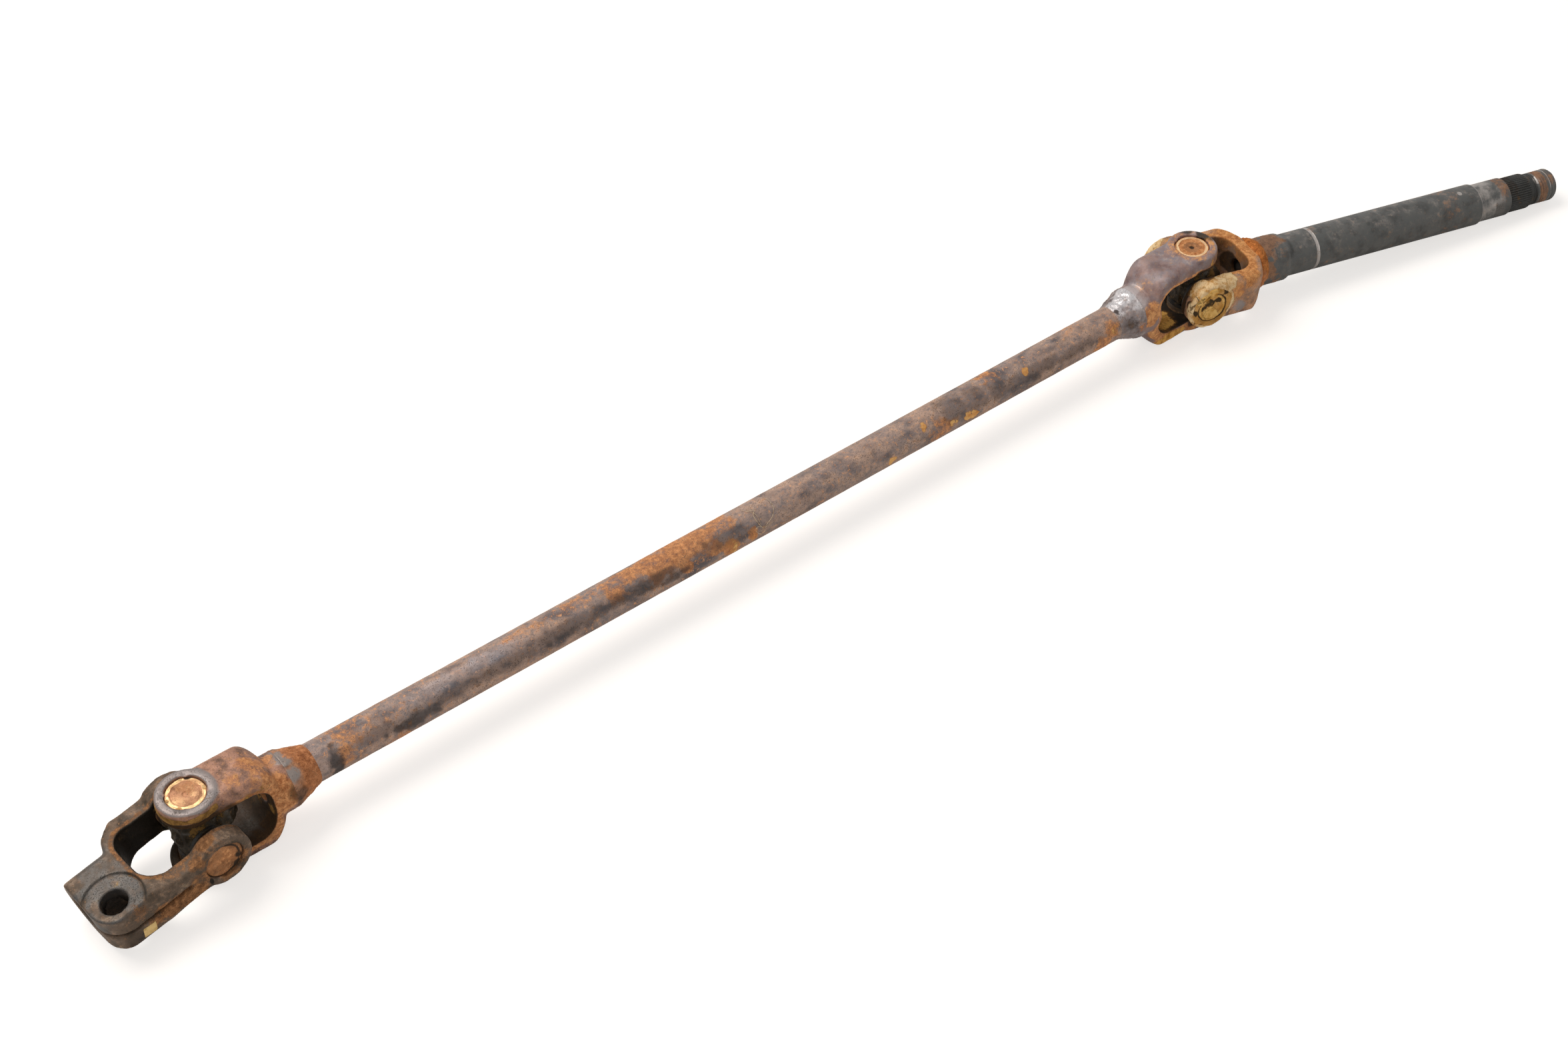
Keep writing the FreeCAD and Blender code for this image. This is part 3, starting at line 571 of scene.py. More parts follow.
@dataclass(frozen=True)
class OldSteel(Finish):
    """Steel with clouded scale, flecks, rust, bare places, black dirt and dried mud.

    Some of its colour is painted highlight and painted shade.
    """

    base: Colour
    mottle: Colour
    shade: Colour
    rust_deep: Colour = (112, 66, 36)
    rust_light: Colour = (222, 150, 96)
    bare_steel: Colour = (150, 150, 152)
    # The colour of black dirt, also used for the painted shade that this channel carries.
    dirt: Colour = (30, 25, 18)
    mud_deep: Colour = (176, 126, 66)
    mud_light: Colour = (244, 214, 160)
    rust_level: float = 0.0
    flecks: float = 0.5
    specks: float = 0.35
    pits: float = 0.5
    lights: float = 0.6
    shades: float = 0.85
    speckle: float = 0.42
    roughness: float = 0.5
    gloss: float = 0.16
    metal: float = 0.1
    relief: float = 0.16
    grain: Triple = (1, 1, 1)

    def make(self) -> bpy.types.Material:
        """Builds the material.

        Each layer is a mask and a colour, and lies on those before it: scale with lighter
        mottles that are partly painted highlight, rust flecks and dark specks, rubbed edges
        that are partly painted highlight, bare steel, rust, pits, black dirt with painted
        shade, then mud.

        Returns:
            The material, which reads the channels, edges and hollows of its mesh.
        """
        graph = self.graph()
        broad = graph.noise(16.0, 4.0, stretch=self.grain)
        middle = graph.noise(5.0, 4.0, 0.6, 3.1, self.grain)
        small = graph.noise(1.7, 4.0, 0.6, 7.7)
        grit = graph.noise(0.55, 3.0, 0.6, 1.3)
        dull = graph.noise(7.0, 3.0, 0.55, 11.9, self.grain)
        rusty, muddy, worn, soot_and_shade_share, edge, hollow = map(
            graph.attribute, ("rust", "mud", "bare", "soot", "edge", "hollow"))
        cloud = broad * 0.45 + middle * 0.55
        fleck = small * 0.6 + grit * 0.4
        tone = middle * 0.25 + small * 0.40 + grit * 0.35
        # A paler tone of the mottle, laid at random places as lighter patches and flecks: partly
        # scale colour and partly painted highlight and sheen.
        bright = between(self.mottle, (255, 236, 214), 0.3)
        rust_middle = between(self.rust_deep, self.rust_light)

        bare_mask = (worn * 1.1 + (middle - 0.5) * 1.1 + (fleck - 0.5) * 0.7).step(0.22, 0.85)
        pattern = (middle - 0.5) * 1.2 + (fleck - 0.5) * 1.1
        rust_mask = (rusty * 1.15 + self.rust_level + pattern).step(0.22, 0.74)
        rust_tone = graph.mix(tone.step(0.38, 0.50), self.rust_deep, rust_middle)
        rust_tone = graph.mix(tone.step(0.48, 0.58), rust_tone, self.rust_light)
        pits = (grit * 0.7 + middle * 0.3).step(0.54, 0.62)
        # Hollows add painted shade together with dirt; this channel also carries painted shade
        # laid as patches.
        soot_and_shade_mask = (soot_and_shade_share * 1.15 + hollow * 0.4 + (cloud - 0.5) * 1.1
                     + (fleck - 0.5) * 0.6).step(0.20, 0.85)
        film = muddy * 1.1 + (middle - 0.5) * 1.3 + (fleck - 0.5) * 0.8
        crust = film.step(0.44, 0.60)
        split = 1 - (graph.cracks(5.5) + (small - 0.5) * 0.16).step(0.008, 0.05)
        split = split * broad.step(0.44, 0.60)
        mud_tone = graph.mix((middle * 0.55 + fleck * 0.45).step(0.38, 0.58), self.mud_deep,
                             self.mud_light)
        mud_tone = graph.mix(split * 0.75, mud_tone, self.dirt)

        colour = graph.mix(cloud.step(0.38, 0.60), self.base, self.mottle)
        for mask, laid in (
                ((middle * 0.5 + small * 0.5).step(0.50, 0.66) * self.lights, bright),
                ((dull * 0.7 + small * 0.3).step(0.46, 0.64) * self.shades, self.shade),
                (fleck.step(0.51, 0.62) * self.flecks, rust_middle),
                ((small * 0.75 + grit * 0.25).step(0.58, 0.66) * self.specks,
                 self.rust_light),
                ((1 - tone.step(0.40, 0.50)) * self.speckle, self.shade),
                (tone.step(0.50, 0.60) * self.speckle * 0.8, bright),
                # Convex edges lighten: rubbed wear and partly painted highlight.
                (edge * middle.step(0.35, 0.6) * 0.4, self.bare_steel),
                (bare_mask * 0.9, self.bare_steel),
                (rust_mask * 0.92, rust_tone),
                (pits * self.pits, between(self.shade, self.dirt)),
                (soot_and_shade_mask * 0.94, self.dirt),
                (film.step(0.12, 0.60) * 0.5, self.mud_deep),
                (crust * 0.94, mud_tone)):
            colour = graph.mix(mask, colour, laid)

        rough = self.roughness + (fleck - 0.5) * 0.45
        rough = rough + rust_mask * 0.3 + crust * 0.4 - bare_mask * 0.12
        height = (grit * 0.30 + small * 0.50 + middle * 0.40) * (0.35 + rust_mask * 0.75
                                                                 + crust * 0.35)
        height = height - pits * 0.20 + crust * 0.8 - split * crust * 0.6
        return graph.surface(colour, rough, height, self.relief, {
            "Metallic": (self.metal + bare_mask * 0.3) * (1 - rust_mask) * (1 - crust),
            "Specular IOR Level": self.gloss})


@dataclass(frozen=True)
class Rubber(Finish):
    """Black rubber under a film of dry dirt."""

    black: Colour = (26, 24, 22)
    dust: Colour = (92, 72, 44)

    def make(self) -> bpy.types.Material:
        """Builds the material."""
        graph = self.graph()
        middle = graph.noise(2.4, 3.0)
        grit = graph.noise(0.4, 2.0, offset=5.0)
        film = (middle * 0.7 + grit * 0.3).step(0.45, 0.62)
        return graph.surface(graph.mix(film * 0.7, self.black, self.dust), 0.62 + film * 0.3,
                             grit + middle, 0.08)


@dataclass(frozen=True)
class GroundSteel(Finish):
    """Ground bearing steel with dark grease on it."""

    steel: Colour = (176, 174, 168)
    grease: Colour = (38, 30, 20)

    def make(self) -> bpy.types.Material:
        """Builds the material."""
        graph = self.graph()
        film = graph.noise(1.8, 3.0).step(0.46, 0.60)
        lines = graph.noise(0.25, 2.0, offset=2.0, stretch=(6, 1, 1))
        return graph.surface(graph.mix(film, self.steel, self.grease), 0.22 + film * 0.3,
                             lines + film, 0.02, {"Metallic": 1 - film * 0.8})


@dataclass(frozen=True)
class DryFibre(Finish):
    """Pale dry plant fibre, darker in streaks."""

    pale: Colour = (226, 206, 172)
    brown: Colour = (158, 122, 80)

    def make(self) -> bpy.types.Material:
        """Builds the material."""
        graph = self.graph()
        streak = graph.noise(1.6, 3.0)
        return graph.surface(graph.mix(streak.step(0.45, 0.65), self.pale, self.brown),
                             0.7 + streak * 0.2, streak, 0.03)


FINISHES = (
    # The rod's grey dirt colour and bluish bare steel also paint its dark near-side band and its
    # top highlight.
    OldSteel("rod", (160, 143, 137), (196, 162, 142), (98, 91, 92), rust_deep=(156, 98, 62),
             rust_light=(250, 176, 116), bare_steel=(150, 150, 158), dirt=(60, 57, 57),
             mud_light=(255, 200, 126), mud_deep=(224, 148, 78), flecks=0.65, speckle=0.6,
             specks=0.8, pits=0.7, shades=0.95, gloss=0.25, relief=0.26, grain=(1.5, 1, 1)),
    OldSteel("lower_yoke", (148, 114, 98), (198, 148, 124), (78, 62, 54), rust_deep=(156, 92, 50),
             rust_light=(244, 176, 118), mud_deep=(110, 80, 36), mud_light=(176, 132, 72),
             bare_steel=(136, 130, 128), dirt=(34, 26, 13), flecks=0.6, relief=0.2),
    OldSteel("upper_yoke", (164, 136, 128), (146, 134, 138), (104, 76, 74),
             rust_deep=(166, 100, 58), rust_light=(255, 186, 118), mud_deep=(176, 120, 48),
             mud_light=(250, 190, 100), bare_steel=(190, 178, 176), dirt=(26, 23, 12), flecks=0.15,
             specks=0.12, pits=0.2, shades=0.7, speckle=0.25, roughness=0.42, gloss=0.34,
             relief=0.12),
    OldSteel("clamp", (102, 86, 72), (132, 110, 92), (52, 45, 35), rust_deep=(96, 62, 34),
             rust_light=(184, 130, 86), bare_steel=(77, 78, 78), dirt=(19, 16, 9),
             mud_deep=(208, 168, 104), mud_light=(252, 216, 148), flecks=0.4, relief=0.16),
    OldSteel("shaft_yoke", (178, 144, 120), (220, 164, 124), (108, 86, 76),
             rust_deep=(174, 104, 54), rust_light=(255, 186, 118), mud_deep=(206, 148, 74),
             mud_light=(255, 224, 174), dirt=(30, 22, 12), flecks=0.6, relief=0.22),
    OldSteel("lower_weld", (170, 122, 92), (204, 146, 108), (88, 68, 56), rust_deep=(140, 82, 46),
             rust_light=(226, 152, 102), bare_steel=(140, 134, 130), relief=0.24),
    # The upper weld's near-white bare steel is partly worn metal and partly a painted glint on its
    # top.
    OldSteel("upper_weld", (146, 130, 126), (172, 160, 158), (78, 66, 66), rust_deep=(138, 84, 46),
             rust_light=(222, 150, 96), bare_steel=(210, 206, 207), dirt=(60, 46, 42), flecks=0.35,
             roughness=0.44, gloss=0.35, relief=0.3),
    OldSteel("shaft_weld", (186, 120, 72), (222, 142, 84), (112, 70, 42), rust_deep=(150, 84, 36),
             rust_light=(236, 148, 78), rust_level=0.3, relief=0.24),
    # Both cups' pale peach bare colour gives the bright rings on their faces: partly worn metal,
    # partly painted highlight.
    OldSteel("dusty_cup", (226, 170, 128), (204, 140, 104), (126, 84, 56),
             rust_deep=(176, 108, 66), rust_light=(240, 182, 134), mud_deep=(214, 160, 98),
             mud_light=(255, 228, 176), bare_steel=(252, 206, 150), dirt=(30, 24, 14), flecks=0.4,
             relief=0.16),
    OldSteel("rusty_cup", (198, 140, 94), (176, 118, 74), (110, 74, 46), rust_deep=(170, 100, 56),
             rust_light=(246, 178, 120), mud_deep=(232, 166, 104), mud_light=(255, 228, 184),
             bare_steel=(255, 216, 166), dirt=(34, 28, 20), flecks=0.5, relief=0.14),
    OldSteel("mud_cake", (206, 150, 74), (226, 172, 98), (150, 102, 46), rust_deep=(170, 104, 40),
             rust_light=(240, 180, 96), bare_steel=(196, 150, 90), dirt=(30, 26, 14),
             mud_deep=(206, 148, 66), mud_light=(252, 206, 126), flecks=0.5, roughness=0.8,
             gloss=0.2, metal=0.0, relief=0.3),
    # The cross's very dark colour, used for its caked lump too, is partly grease and partly
    # painted shade inside the joints.
    OldSteel("cross", (42, 35, 22), (62, 50, 29), (24, 20, 13), rust_light=(140, 100, 52),
             dirt=(16, 14, 10), mud_deep=(86, 66, 34), mud_light=(150, 112, 60), flecks=0.3,
             gloss=0.2, relief=0.22),
    OldSteel("black_shaft", (94, 95, 93), (100, 99, 96), (70, 70, 68), rust_deep=(116, 86, 68),
             rust_light=(168, 126, 96), lights=0.15, speckle=0.12, bare_steel=(182, 174, 168),
             dirt=(34, 34, 31), flecks=0.08, specks=0.1, pits=0.3, roughness=0.5, gloss=0.3,
             relief=0.06),
    Rubber("seal_rubber"), GroundSteel("needle"), DryFibre("dry_fibre"))


def dress(piece: bpy.types.Object, material: bpy.types.Material) -> None:
    """Gives a piece one material."""
    piece.data.materials.clear()
    piece.data.materials.append(material)


# builders

@dataclass
class Forging:
    """A forged piece: the solid's skin with rounded edges, an uneven surface and relief."""

    node: str
    limb: Limb
    patches: tuple[Patch, ...]
    pin_axis: int
    own_patches: tuple[Patch, ...] = ()
    stakes: tuple[float, ...] = ()
    machined: tuple[tuple[float, float, float, float], ...] = ()
    bore_radius: float = 8.02
    ear_face: float = 20.8
    gap: Triple = (12.8, 27.3, 8.0)
    stake_in: float = 0.75
    stake_down: float = 0.45
    stake_width: float = 1.1
    voxel: float = 0.45
    rounding: int = 12
    waves: float = 0.10
    grit: float = 0.035
    inset: float = 0.0
    mud_depth: float = 0.45
    # How dark the fork's slot gets: dirt and painted shade.
    grime: float = 0.8
    # Rust along the slot's edge, partly painted highlight.
    rim_rust: float = 0.4
    seed: int = 1

    def skin(self, solid: bpy.types.Object) -> bpy.types.Object:
        """Wraps a solid in an even mesh of small quads.

        Args:
            solid: The solid's object, of which a merged copy is wrapped.

        Returns:
            A new object with the skin's mesh.
        """
        mesh = solid.data.copy()
        shell = bmesh.new()
        shell.from_mesh(mesh)
        bmesh.ops.remove_doubles(shell, verts=shell.verts, dist=1e-6)
        shell.to_mesh(mesh)
        shell.free()
        rough = linked_object(self.node + "_rough", mesh)
        wrap = rough.modifiers.new("wrap", "REMESH")
        wrap.mode = "VOXEL"
        wrap.voxel_size = self.voxel * MM
        graph = bpy.context.evaluated_depsgraph_get()
        even = bpy.data.meshes.new_from_object(rough.evaluated_get(graph))
        bpy.data.objects.remove(rough)
        bpy.data.meshes.remove(mesh)
        even.materials.clear()
        for layer in [item for item in even.attributes
                      if not item.is_required and not item.is_internal]:
            even.attributes.remove(layer)
        even.name = self.node + "_skin"
        return linked_object(even.name, even)

    def crispness(self, local: np.ndarray) -> np.ndarray:
        """Share of smoothing that each place gets: little round bores and machined faces."""
        from_pin = np.linalg.norm(np.delete(local, self.pin_axis, axis=1), axis=1)
        share = 0.05 + 0.45 * ramp(from_pin, self.bore_radius + 0.5, self.bore_radius + 1.6)
        for *centre, reach in self.machined:
            away = np.linalg.norm(local - np.array(centre), axis=1)
            share = np.minimum(share, 0.12 + 0.38 * ramp(away, reach, reach + 1.5))
        return share

    def staked(self, points: np.ndarray) -> np.ndarray:
        """Pushes the rim of each bore inwards at its stakes, where the cup is locked.

        The rim within a stake's width moves towards the pin axis and down into the ear.

        Args:
            points: The vertices in row-frame metres.

        Returns:
            The moved vertices.
        """
        local = self.limb.local(points)
        others = [axis for axis in range(3) if axis != self.pin_axis]
        moved = local.copy()
        radius = np.linalg.norm(local[:, others], axis=1).clip(0.1)
        turn = np.degrees(np.arctan2(local[:, others[1]], local[:, others[0]]))
        for side in (1, -1):
            depth = np.abs(local[:, self.pin_axis] - side * self.ear_face)
            for angle in self.stakes:
                apart = np.abs((turn - angle + 180) % 360 - 180)
                along = np.radians(apart) * radius
                weight = np.exp(-(along / self.stake_width) ** 2)
                weight = weight * np.exp(-((radius - 8.5) / 0.9) ** 2) * np.exp(-depth ** 2)
                inward = self.stake_in * weight / radius
                moved[:, others] -= moved[:, others] * inward[:, None]
                moved[:, self.pin_axis] -= side * self.stake_down * weight
        return points + (moved - local) @ self.limb.axes * MM

    def beyond_slot(self, local: np.ndarray) -> np.ndarray:
        """Millimetres outside the fork's slot, whose bottom has two round corners.

        Args:
            local: The vertices in the limb's mm.

        Returns:
            One distance a vertex, below 0 inside the slot.
        """
        half, depth, corner = self.gap
        past = np.stack([local[:, 0] - depth, np.abs(local[:, self.pin_axis]) - half], axis=1)
        past += corner
        round_part = np.linalg.norm(past.clip(0), axis=1)
        return round_part + np.minimum(past.max(axis=1), 0) - corner

    def build(self, solid: bpy.types.Object) -> bpy.types.Object:
        """Makes the piece.

        Its vertices move along their normals by low waves of layered noise, finer grit
        where rust grows, and the thickness of dried mud.

        Args:
            solid: The solid's object.

        Returns:
            The finished object with its channels stored.
        """
        made = self.skin(solid)
        mesh = made.data
        points = read_points(mesh)
        share = self.crispness(self.limb.local(points))
        points = Neighbours.of(mesh).smooth(points, self.rounding, share[:, None])
        points = self.staked(points)
        write_points(mesh, points)
        local = self.limb.local(points)
        masks = patch_masks(self.limb.near(points), self.patches, self.seed)
        raise_masks(masks, patch_masks(local, self.own_patches, self.seed + 1))
        beyond = self.beyond_slot(local)
        # Inside the fork's slot the surface darkens: dirt and painted shade between the ears. A
        # band of rust just outside the slot's edge is partly painted highlight on that edge.
        raise_masks(masks, {
            Channel.SOOT: self.grime * (1 - ramp(beyond, 0.1, 1.1)),
            Channel.RUST: self.rim_rust * ramp(beyond, 0.3, 1.0) * (1 - ramp(beyond, 1.6, 3.6))})
        uneven = 0.3 + 0.7 * ((share - 0.05) / 0.45)
        place = points / MM
        height = self.waves * layered_noise(place, 7.0, self.seed + 11) * uneven - self.inset
        height += self.grit * layered_noise(place, 1.5, self.seed + 23) * uneven
        height += 0.06 * masks[Channel.RUST] * layered_noise(place, 1.9, self.seed + 31)
        thick = 0.55 + 0.45 * layered_noise(place, 4.0, self.seed + 41)
        height += self.mud_depth * masks[Channel.MUD] * thick.clip(0)
        write_points(mesh, points + read_normals(mesh) * height[:, None] * MM)
        store_looks(mesh, masks)
        return made


LONG, LONGER = (2.2, 0.45, 0.5), (3.4, 0.45, 0.5)
# The long dark streaks low on the near side (y about -6.6, z about 4) paint a dark band of shade
# and reflection along the rod. The long bare streaks along the top are partly worn metal and
# partly painted highlight.
ROD_PATCHES = (
    bare(51.5, 0, 3, 12, 0.36, (0.4, 1.3, 1.3), ragged=0.5),
    soot(56.5, -6, 0, 11, 0.66, (0.38, 1, 1.2), ragged=0.5), rust(66, -1, 7, 12, 0.42),
    rust(84, 0, 7.5, 12, 0.3), rust(61, -6, 2, 6, 0.55), rust(84, -7.6, -3, 7, 0.45),
    soot(76, -6.5, 4.5, 9, 0.4, LONG), soot(92, -7.5, 2, 9, 0.62, LONG),
    bare(108, -2.5, 7.5, 13, 0.42, LONG), bare(127, -2.5, 7.5, 12, 0.46, LONG),
    soot(104, -6.8, 4, 10, 0.42, LONGER), soot(134, -6.8, 4, 10, 0.4, LONGER),
    soot(168, -6.6, 4.4, 11, 0.48, LONGER), soot(198, -6.6, 4.2, 9, 0.5, LONGER),
    soot(214, -7.4, 2, 6, 0.52, LONG), soot(240, -5.6, 5.6, 9, 0.5, LONG),
    soot(250, -6.6, 4.2, 8, 0.45, LONG), rust(150, 1, 8, 12, 0.3, LONG),
    rust(172, 0, 8, 12, 0.4, LONG), rust(188, -3.2, 7, 7, 0.6), rust(200, 0, 8, 14, 0.55, LONG),
    rust(208, -1.5, 7.9, 11, 0.66), rust(220, 0, 8, 12, 0.7), rust(231, -0.5, 8, 12, 0.62),
    rust(243, 2, 7.9, 10, 0.5), rust(221, -7.4, 3, 4.2, 1), rust(236, -6.8, 4.1, 3.6, 1),
    rust(242, -8, 0, 6, 0.75), mud(244, -8, -1, 6, 0.36), mud(257, -7.6, -1, 6, 0.32),
    rust(256, -7.6, 2.2, 5, 0.7), bare(262, -1, 7.8, 10, 0.42),
    soot(270, -5.5, 5.5, 12, 0.42, LONG), bare(284, -4, 6.5, 12, 0.35, LONG),
    rust(300, 2, 7.8, 10, 0.3, LONG), soot(300, -7, 3.6, 8, 0.4, LONGER),
    soot(322, -5.8, 5.5, 11, 0.55, LONG), rust(329, -7.9, -1.2, 5, 0.75),
    rust(341, -7.5, 2.5, 6, 0.55), rust(350.7, -4.5, 6.6, 1.9, 1.5, ragged=0.1),
    rust(353, -7.7, 1.5, 3.6, 0.9), rust(346, 1, 7.9, 8, 0.4), soot(-147, -4, 6, 12, 0.46),
    soot(-135, -5, 5, 11, 0.42), soot(-122, -5.5, 4.6, 9, 0.45),
    mud(-141, -7.7, 1, 2, 1, ragged=1), mud(-148, -7.9, 1, 2.4, 0.9, ragged=1),
    mud(-137, -7.8, 0.2, 2.4, 1, ragged=1), rust(-156, -7.8, 1.6, 8, 0.55),
    mud(-164, -5.6, 5.6, 2.1, 1, ragged=1), mud(-184, -7.9, -0.5, 2.8, 0.9, ragged=1),
    rust(-123, 1.5, 7.8, 7, 0.5), mud(-106, -5.6, 5.8, 2, 1, ragged=1),
    soot(-104, -6.6, 4, 11, 0.45, LONGER), soot(-78, -6.8, 3.6, 9, 0.42, LONG),
    rust(-55, -6.5, 3.5, 6.5, 0.55), rust(-60, -7.5, -2, 8, 0.55), rust(-73, 3, 7.4, 8, 0.3),
    mud(-53, -6.9, 3, 3, 0.42))
FIBRE_KNOTS = (
    ((254.6, 83, 0.15), (256.5, 99, 0.25), (259.1, 105, 0.3), (257.5, 118, 0.25),
     (257.7, 140, 0.2), (259.2, 163, 0.3), (261.7, 164, 0.5), (265.3, 162, 0.2)),
    ((266.7, 76, 0.15), (267.2, 102, 0.6), (266.9, 127, 0.8), (264.8, 146, 0.6),
     (262.0, 157, 0.4), (259.8, 166, 0.2)),
    ((259.8, 166, 0.2), (257.4, 153, 0.5), (255.6, 156, 0.6), (256.1, 169, 0.5),
     (258.2, 180, 0.4), (259.8, 176, 0.5), (260.0, 163, 0.3)),
    ((256.5, 89, 0.15), (258.4, 116, 0.35), (258.8, 132, 0.3), (258.7, 153, 0.2)))


@dataclass
class RodBar:
    """The plain round rod with scale, pits, rust crusts and a few dried fibres."""

    limb: Limb
    start: float
    end: float
    radius: float = 8.0
    rows: int = 640
    columns: int = 76
    grain: float = 2.6
    fibre_radius: float = 0.11
    fibre_sides: int = 6
    seed: int = 5

    def masks(self, points: np.ndarray) -> dict[Channel, np.ndarray]:
        """The channels at places in row-frame metres."""
        return patch_masks(self.limb.near(points), ROD_PATCHES, self.seed, self.grain)

    def build(self) -> bpy.types.Object:
        """Makes the rod's surface.

        The radius is 8 mm, plus low waves, plus crusts where rust lies, less round pits.

        Returns:
            The finished object with its channels stored.
        """
        axial = np.linspace(self.start, self.end, self.rows)
        place = revolve(axial, np.full((1, self.columns), self.radius)).reshape(-1, 3)
        crust = self.masks(self.limb.world(place))[Channel.RUST]
        crust = crust * (0.5 + layered_noise(place, 2.2, self.seed + 3))
        pits = ramp(layered_noise(place, 2.4, self.seed + 7, 2), 0.5, 0.8)
        swell = (0.06 * layered_noise(place, 9.0, self.seed + 1) + 0.24 * crust.clip(0)
                 + 0.03 * layered_noise(place, 1.6, self.seed + 2) - 0.12 * pits)
        radius = self.radius + swell.reshape(self.rows, self.columns)
        made = turned_surface("rod_bar", self.limb, axial, radius)
        store_looks(made.data, self.masks(read_points(made.data)))
        return made

    def fibres(self) -> bpy.types.Object:
        """A few dried plant fibres stuck to the rod's near side.

        Each is a round thread along a smooth curve through its knots, given as place along
        the rod in mm, angle round it in degrees and height above it in mm.

        Returns:
            One object that holds every thread.
        """
        places, faces, used = [], [], 0
        for number, thread in enumerate(FIBRE_KNOTS):
            along, turn, height = np.array(thread).T
            reach = self.radius + 0.08 + height
            turn = np.radians(turn)
            knots = np.stack([along, reach * np.cos(turn), reach * np.sin(turn)], axis=1)
            path = smooth_path(knots, 14)
            thickness = self.fibre_radius - 0.012 * number
            places.append(thread_tube(path, thickness, self.fibre_sides))
            faces.append(grid_faces(len(path), self.fibre_sides) + used)
            used += len(places[-1])
        return mesh_object("dried_fibres", self.limb.world(np.concatenate(places)),
                           np.concatenate(faces))


def smooth_path(knots: np.ndarray, steps: int) -> np.ndarray:
    """A smooth curve through points: a cubic in each span whose slopes are half-way chords.

    Args:
        knots: An (n, 3) array of points on the curve.
        steps: Points worked out for each span.

    Returns:
        An array of points along the curve.
    """
    ends = np.concatenate([2 * knots[:1] - knots[1:2], knots, 2 * knots[-1:] - knots[-2:-1]])
    share = np.linspace(0, 1, steps, endpoint=False)[:, None]
    spans = []
    for index in range(len(knots) - 1):
        a, b, c, d = ends[index:index + 4]
        spans.append(0.5 * (2 * b + (c - a) * share + (2 * a - 5 * b + 4 * c - d) * share ** 2
                            + (3 * b - a - 3 * c + d) * share ** 3))
    return np.concatenate(spans + [knots[-1:]])


def thread_tube(path: np.ndarray, radius: float, sides: int) -> np.ndarray:
    """A round tube along a path, tapered to a point at both ends.

    Args:
        path: An (n, 3) array of the middle line.
        radius: The tube's radius.
        sides: Points round the tube.

    Returns:
        The (n * sides, 3) points of the tube.
    """
    along = np.gradient(path, axis=0)
    along /= np.linalg.norm(along, axis=1, keepdims=True)
    across = np.cross(along, np.array([0.3, 0.8, 0.52]))
    across /= np.linalg.norm(across, axis=1, keepdims=True)
    other = np.cross(along, across)
    turn = full_turn(sides)[None, :, None]
    taper = np.sin(np.linspace(0.02, math.pi - 0.02, len(path))) ** 0.35 * radius
    ring = np.cos(turn) * across[:, None] + np.sin(turn) * other[:, None]
    return (path[:, None] + ring * taper[:, None, None]).reshape(-1, 3)


@dataclass
class WeldBead:
    """A hand-made weld round the step from a hub to a bar, lumpy and rippled."""

    name: str
    limb: Limb
    start: float
    profile: tuple[tuple[float, float], ...]
    patches: tuple[Patch, ...]
    lumps: float = 0.45
    ripples: float = 0.12
    rows: int = 46
    columns: int = 120
    seed: int = 9

    def build(self) -> bpy.types.Object:
        """Makes the bead.

        The radius follows the profile, whose places count from the start, plus lumps of
        layered noise that fade at both ends, plus ripples that lean along the axis as they
        go round.

        Returns:
            The finished object with its channels stored.
        """
        share = np.linspace(0, 1, self.rows)
        marks = np.linspace(0, 1, len(self.profile))
        outline = np.array(self.profile) + np.array([self.start, 0.0])
        axial, radius = (np.interp(share, marks, column) for column in outline.T)
        radius = np.repeat(radius[:, None], self.columns, axis=1)
        place = revolve(axial, radius)
        lump, fold, fine = (layered_noise(place, size, self.seed + step)
                            for size, step in ((6.0, 0), (3.2, 3), (1.2, 5)))
        fade = np.sin(math.pi * np.clip(share * 1.15 - 0.05, 0, 1)) ** 0.6
        wave = np.sin(full_turn(self.columns) * 30 + axial[:, None] * 1.7 + 2.5 * lump
                      + 2.0 * fold)
        swell = self.lumps * (lump - 0.9 * np.abs(fold) + 0.25) + 0.10 * fine
        swell = fade[:, None] * (swell + self.ripples * wave * 0.5)
        made = turned_surface(self.name, self.limb, axial, radius + swell)
        near = self.limb.near(read_points(made.data))
        store_looks(made.data, patch_masks(near, self.patches, self.seed, 3.0))
        return made


@dataclass
class DirtAndShadeLump:
    """Dirt and old grease caked round the middle of a cross.

    Its dark colour is partly painted shade: a dark mass put inside the joint where shade falls.
    """

    name: str
    limb: Limb
    middle: float
    reach: Triple
    seed: int
    rows: int = 56
    columns: int = 84

    def build(self) -> bpy.types.Object:
        """Makes the lump.

        It is an ellipsoid whose size at each place grows or shrinks by layered noise: the
        cosine of the angle from one end gives the place along it, and the sine the radius.

        Returns:
            The finished object with its channels stored.
        """
        turn = np.linspace(0, math.pi, self.rows + 2)[1:-1]
        angle = full_turn(self.columns)
        unit = revolve(-np.cos(turn), np.repeat(np.sin(turn)[:, None], self.columns, axis=1))
        place = unit * np.array(self.reach)
        scale = 1 + (layered_noise(place, 5.0, self.seed) * 0.10
                     + layered_noise(place, 1.8, self.seed + 9) * 0.035)
        axial = self.middle + unit[:, :, 0] * self.reach[0] * scale
        across = np.hypot(self.reach[1] * np.cos(angle), self.reach[2] * np.sin(angle))
        made = turned_surface(self.name, self.limb, axial,
                              np.sin(turn)[:, None] * across * scale)
        local = self.limb.local(read_points(made.data))
        patches = (mud(6, -5, 6, 8, 0.5), soot(4, 2, -6, 9, 0.8))
        store_looks(made.data, patch_masks(local, patches, self.seed))
        return made


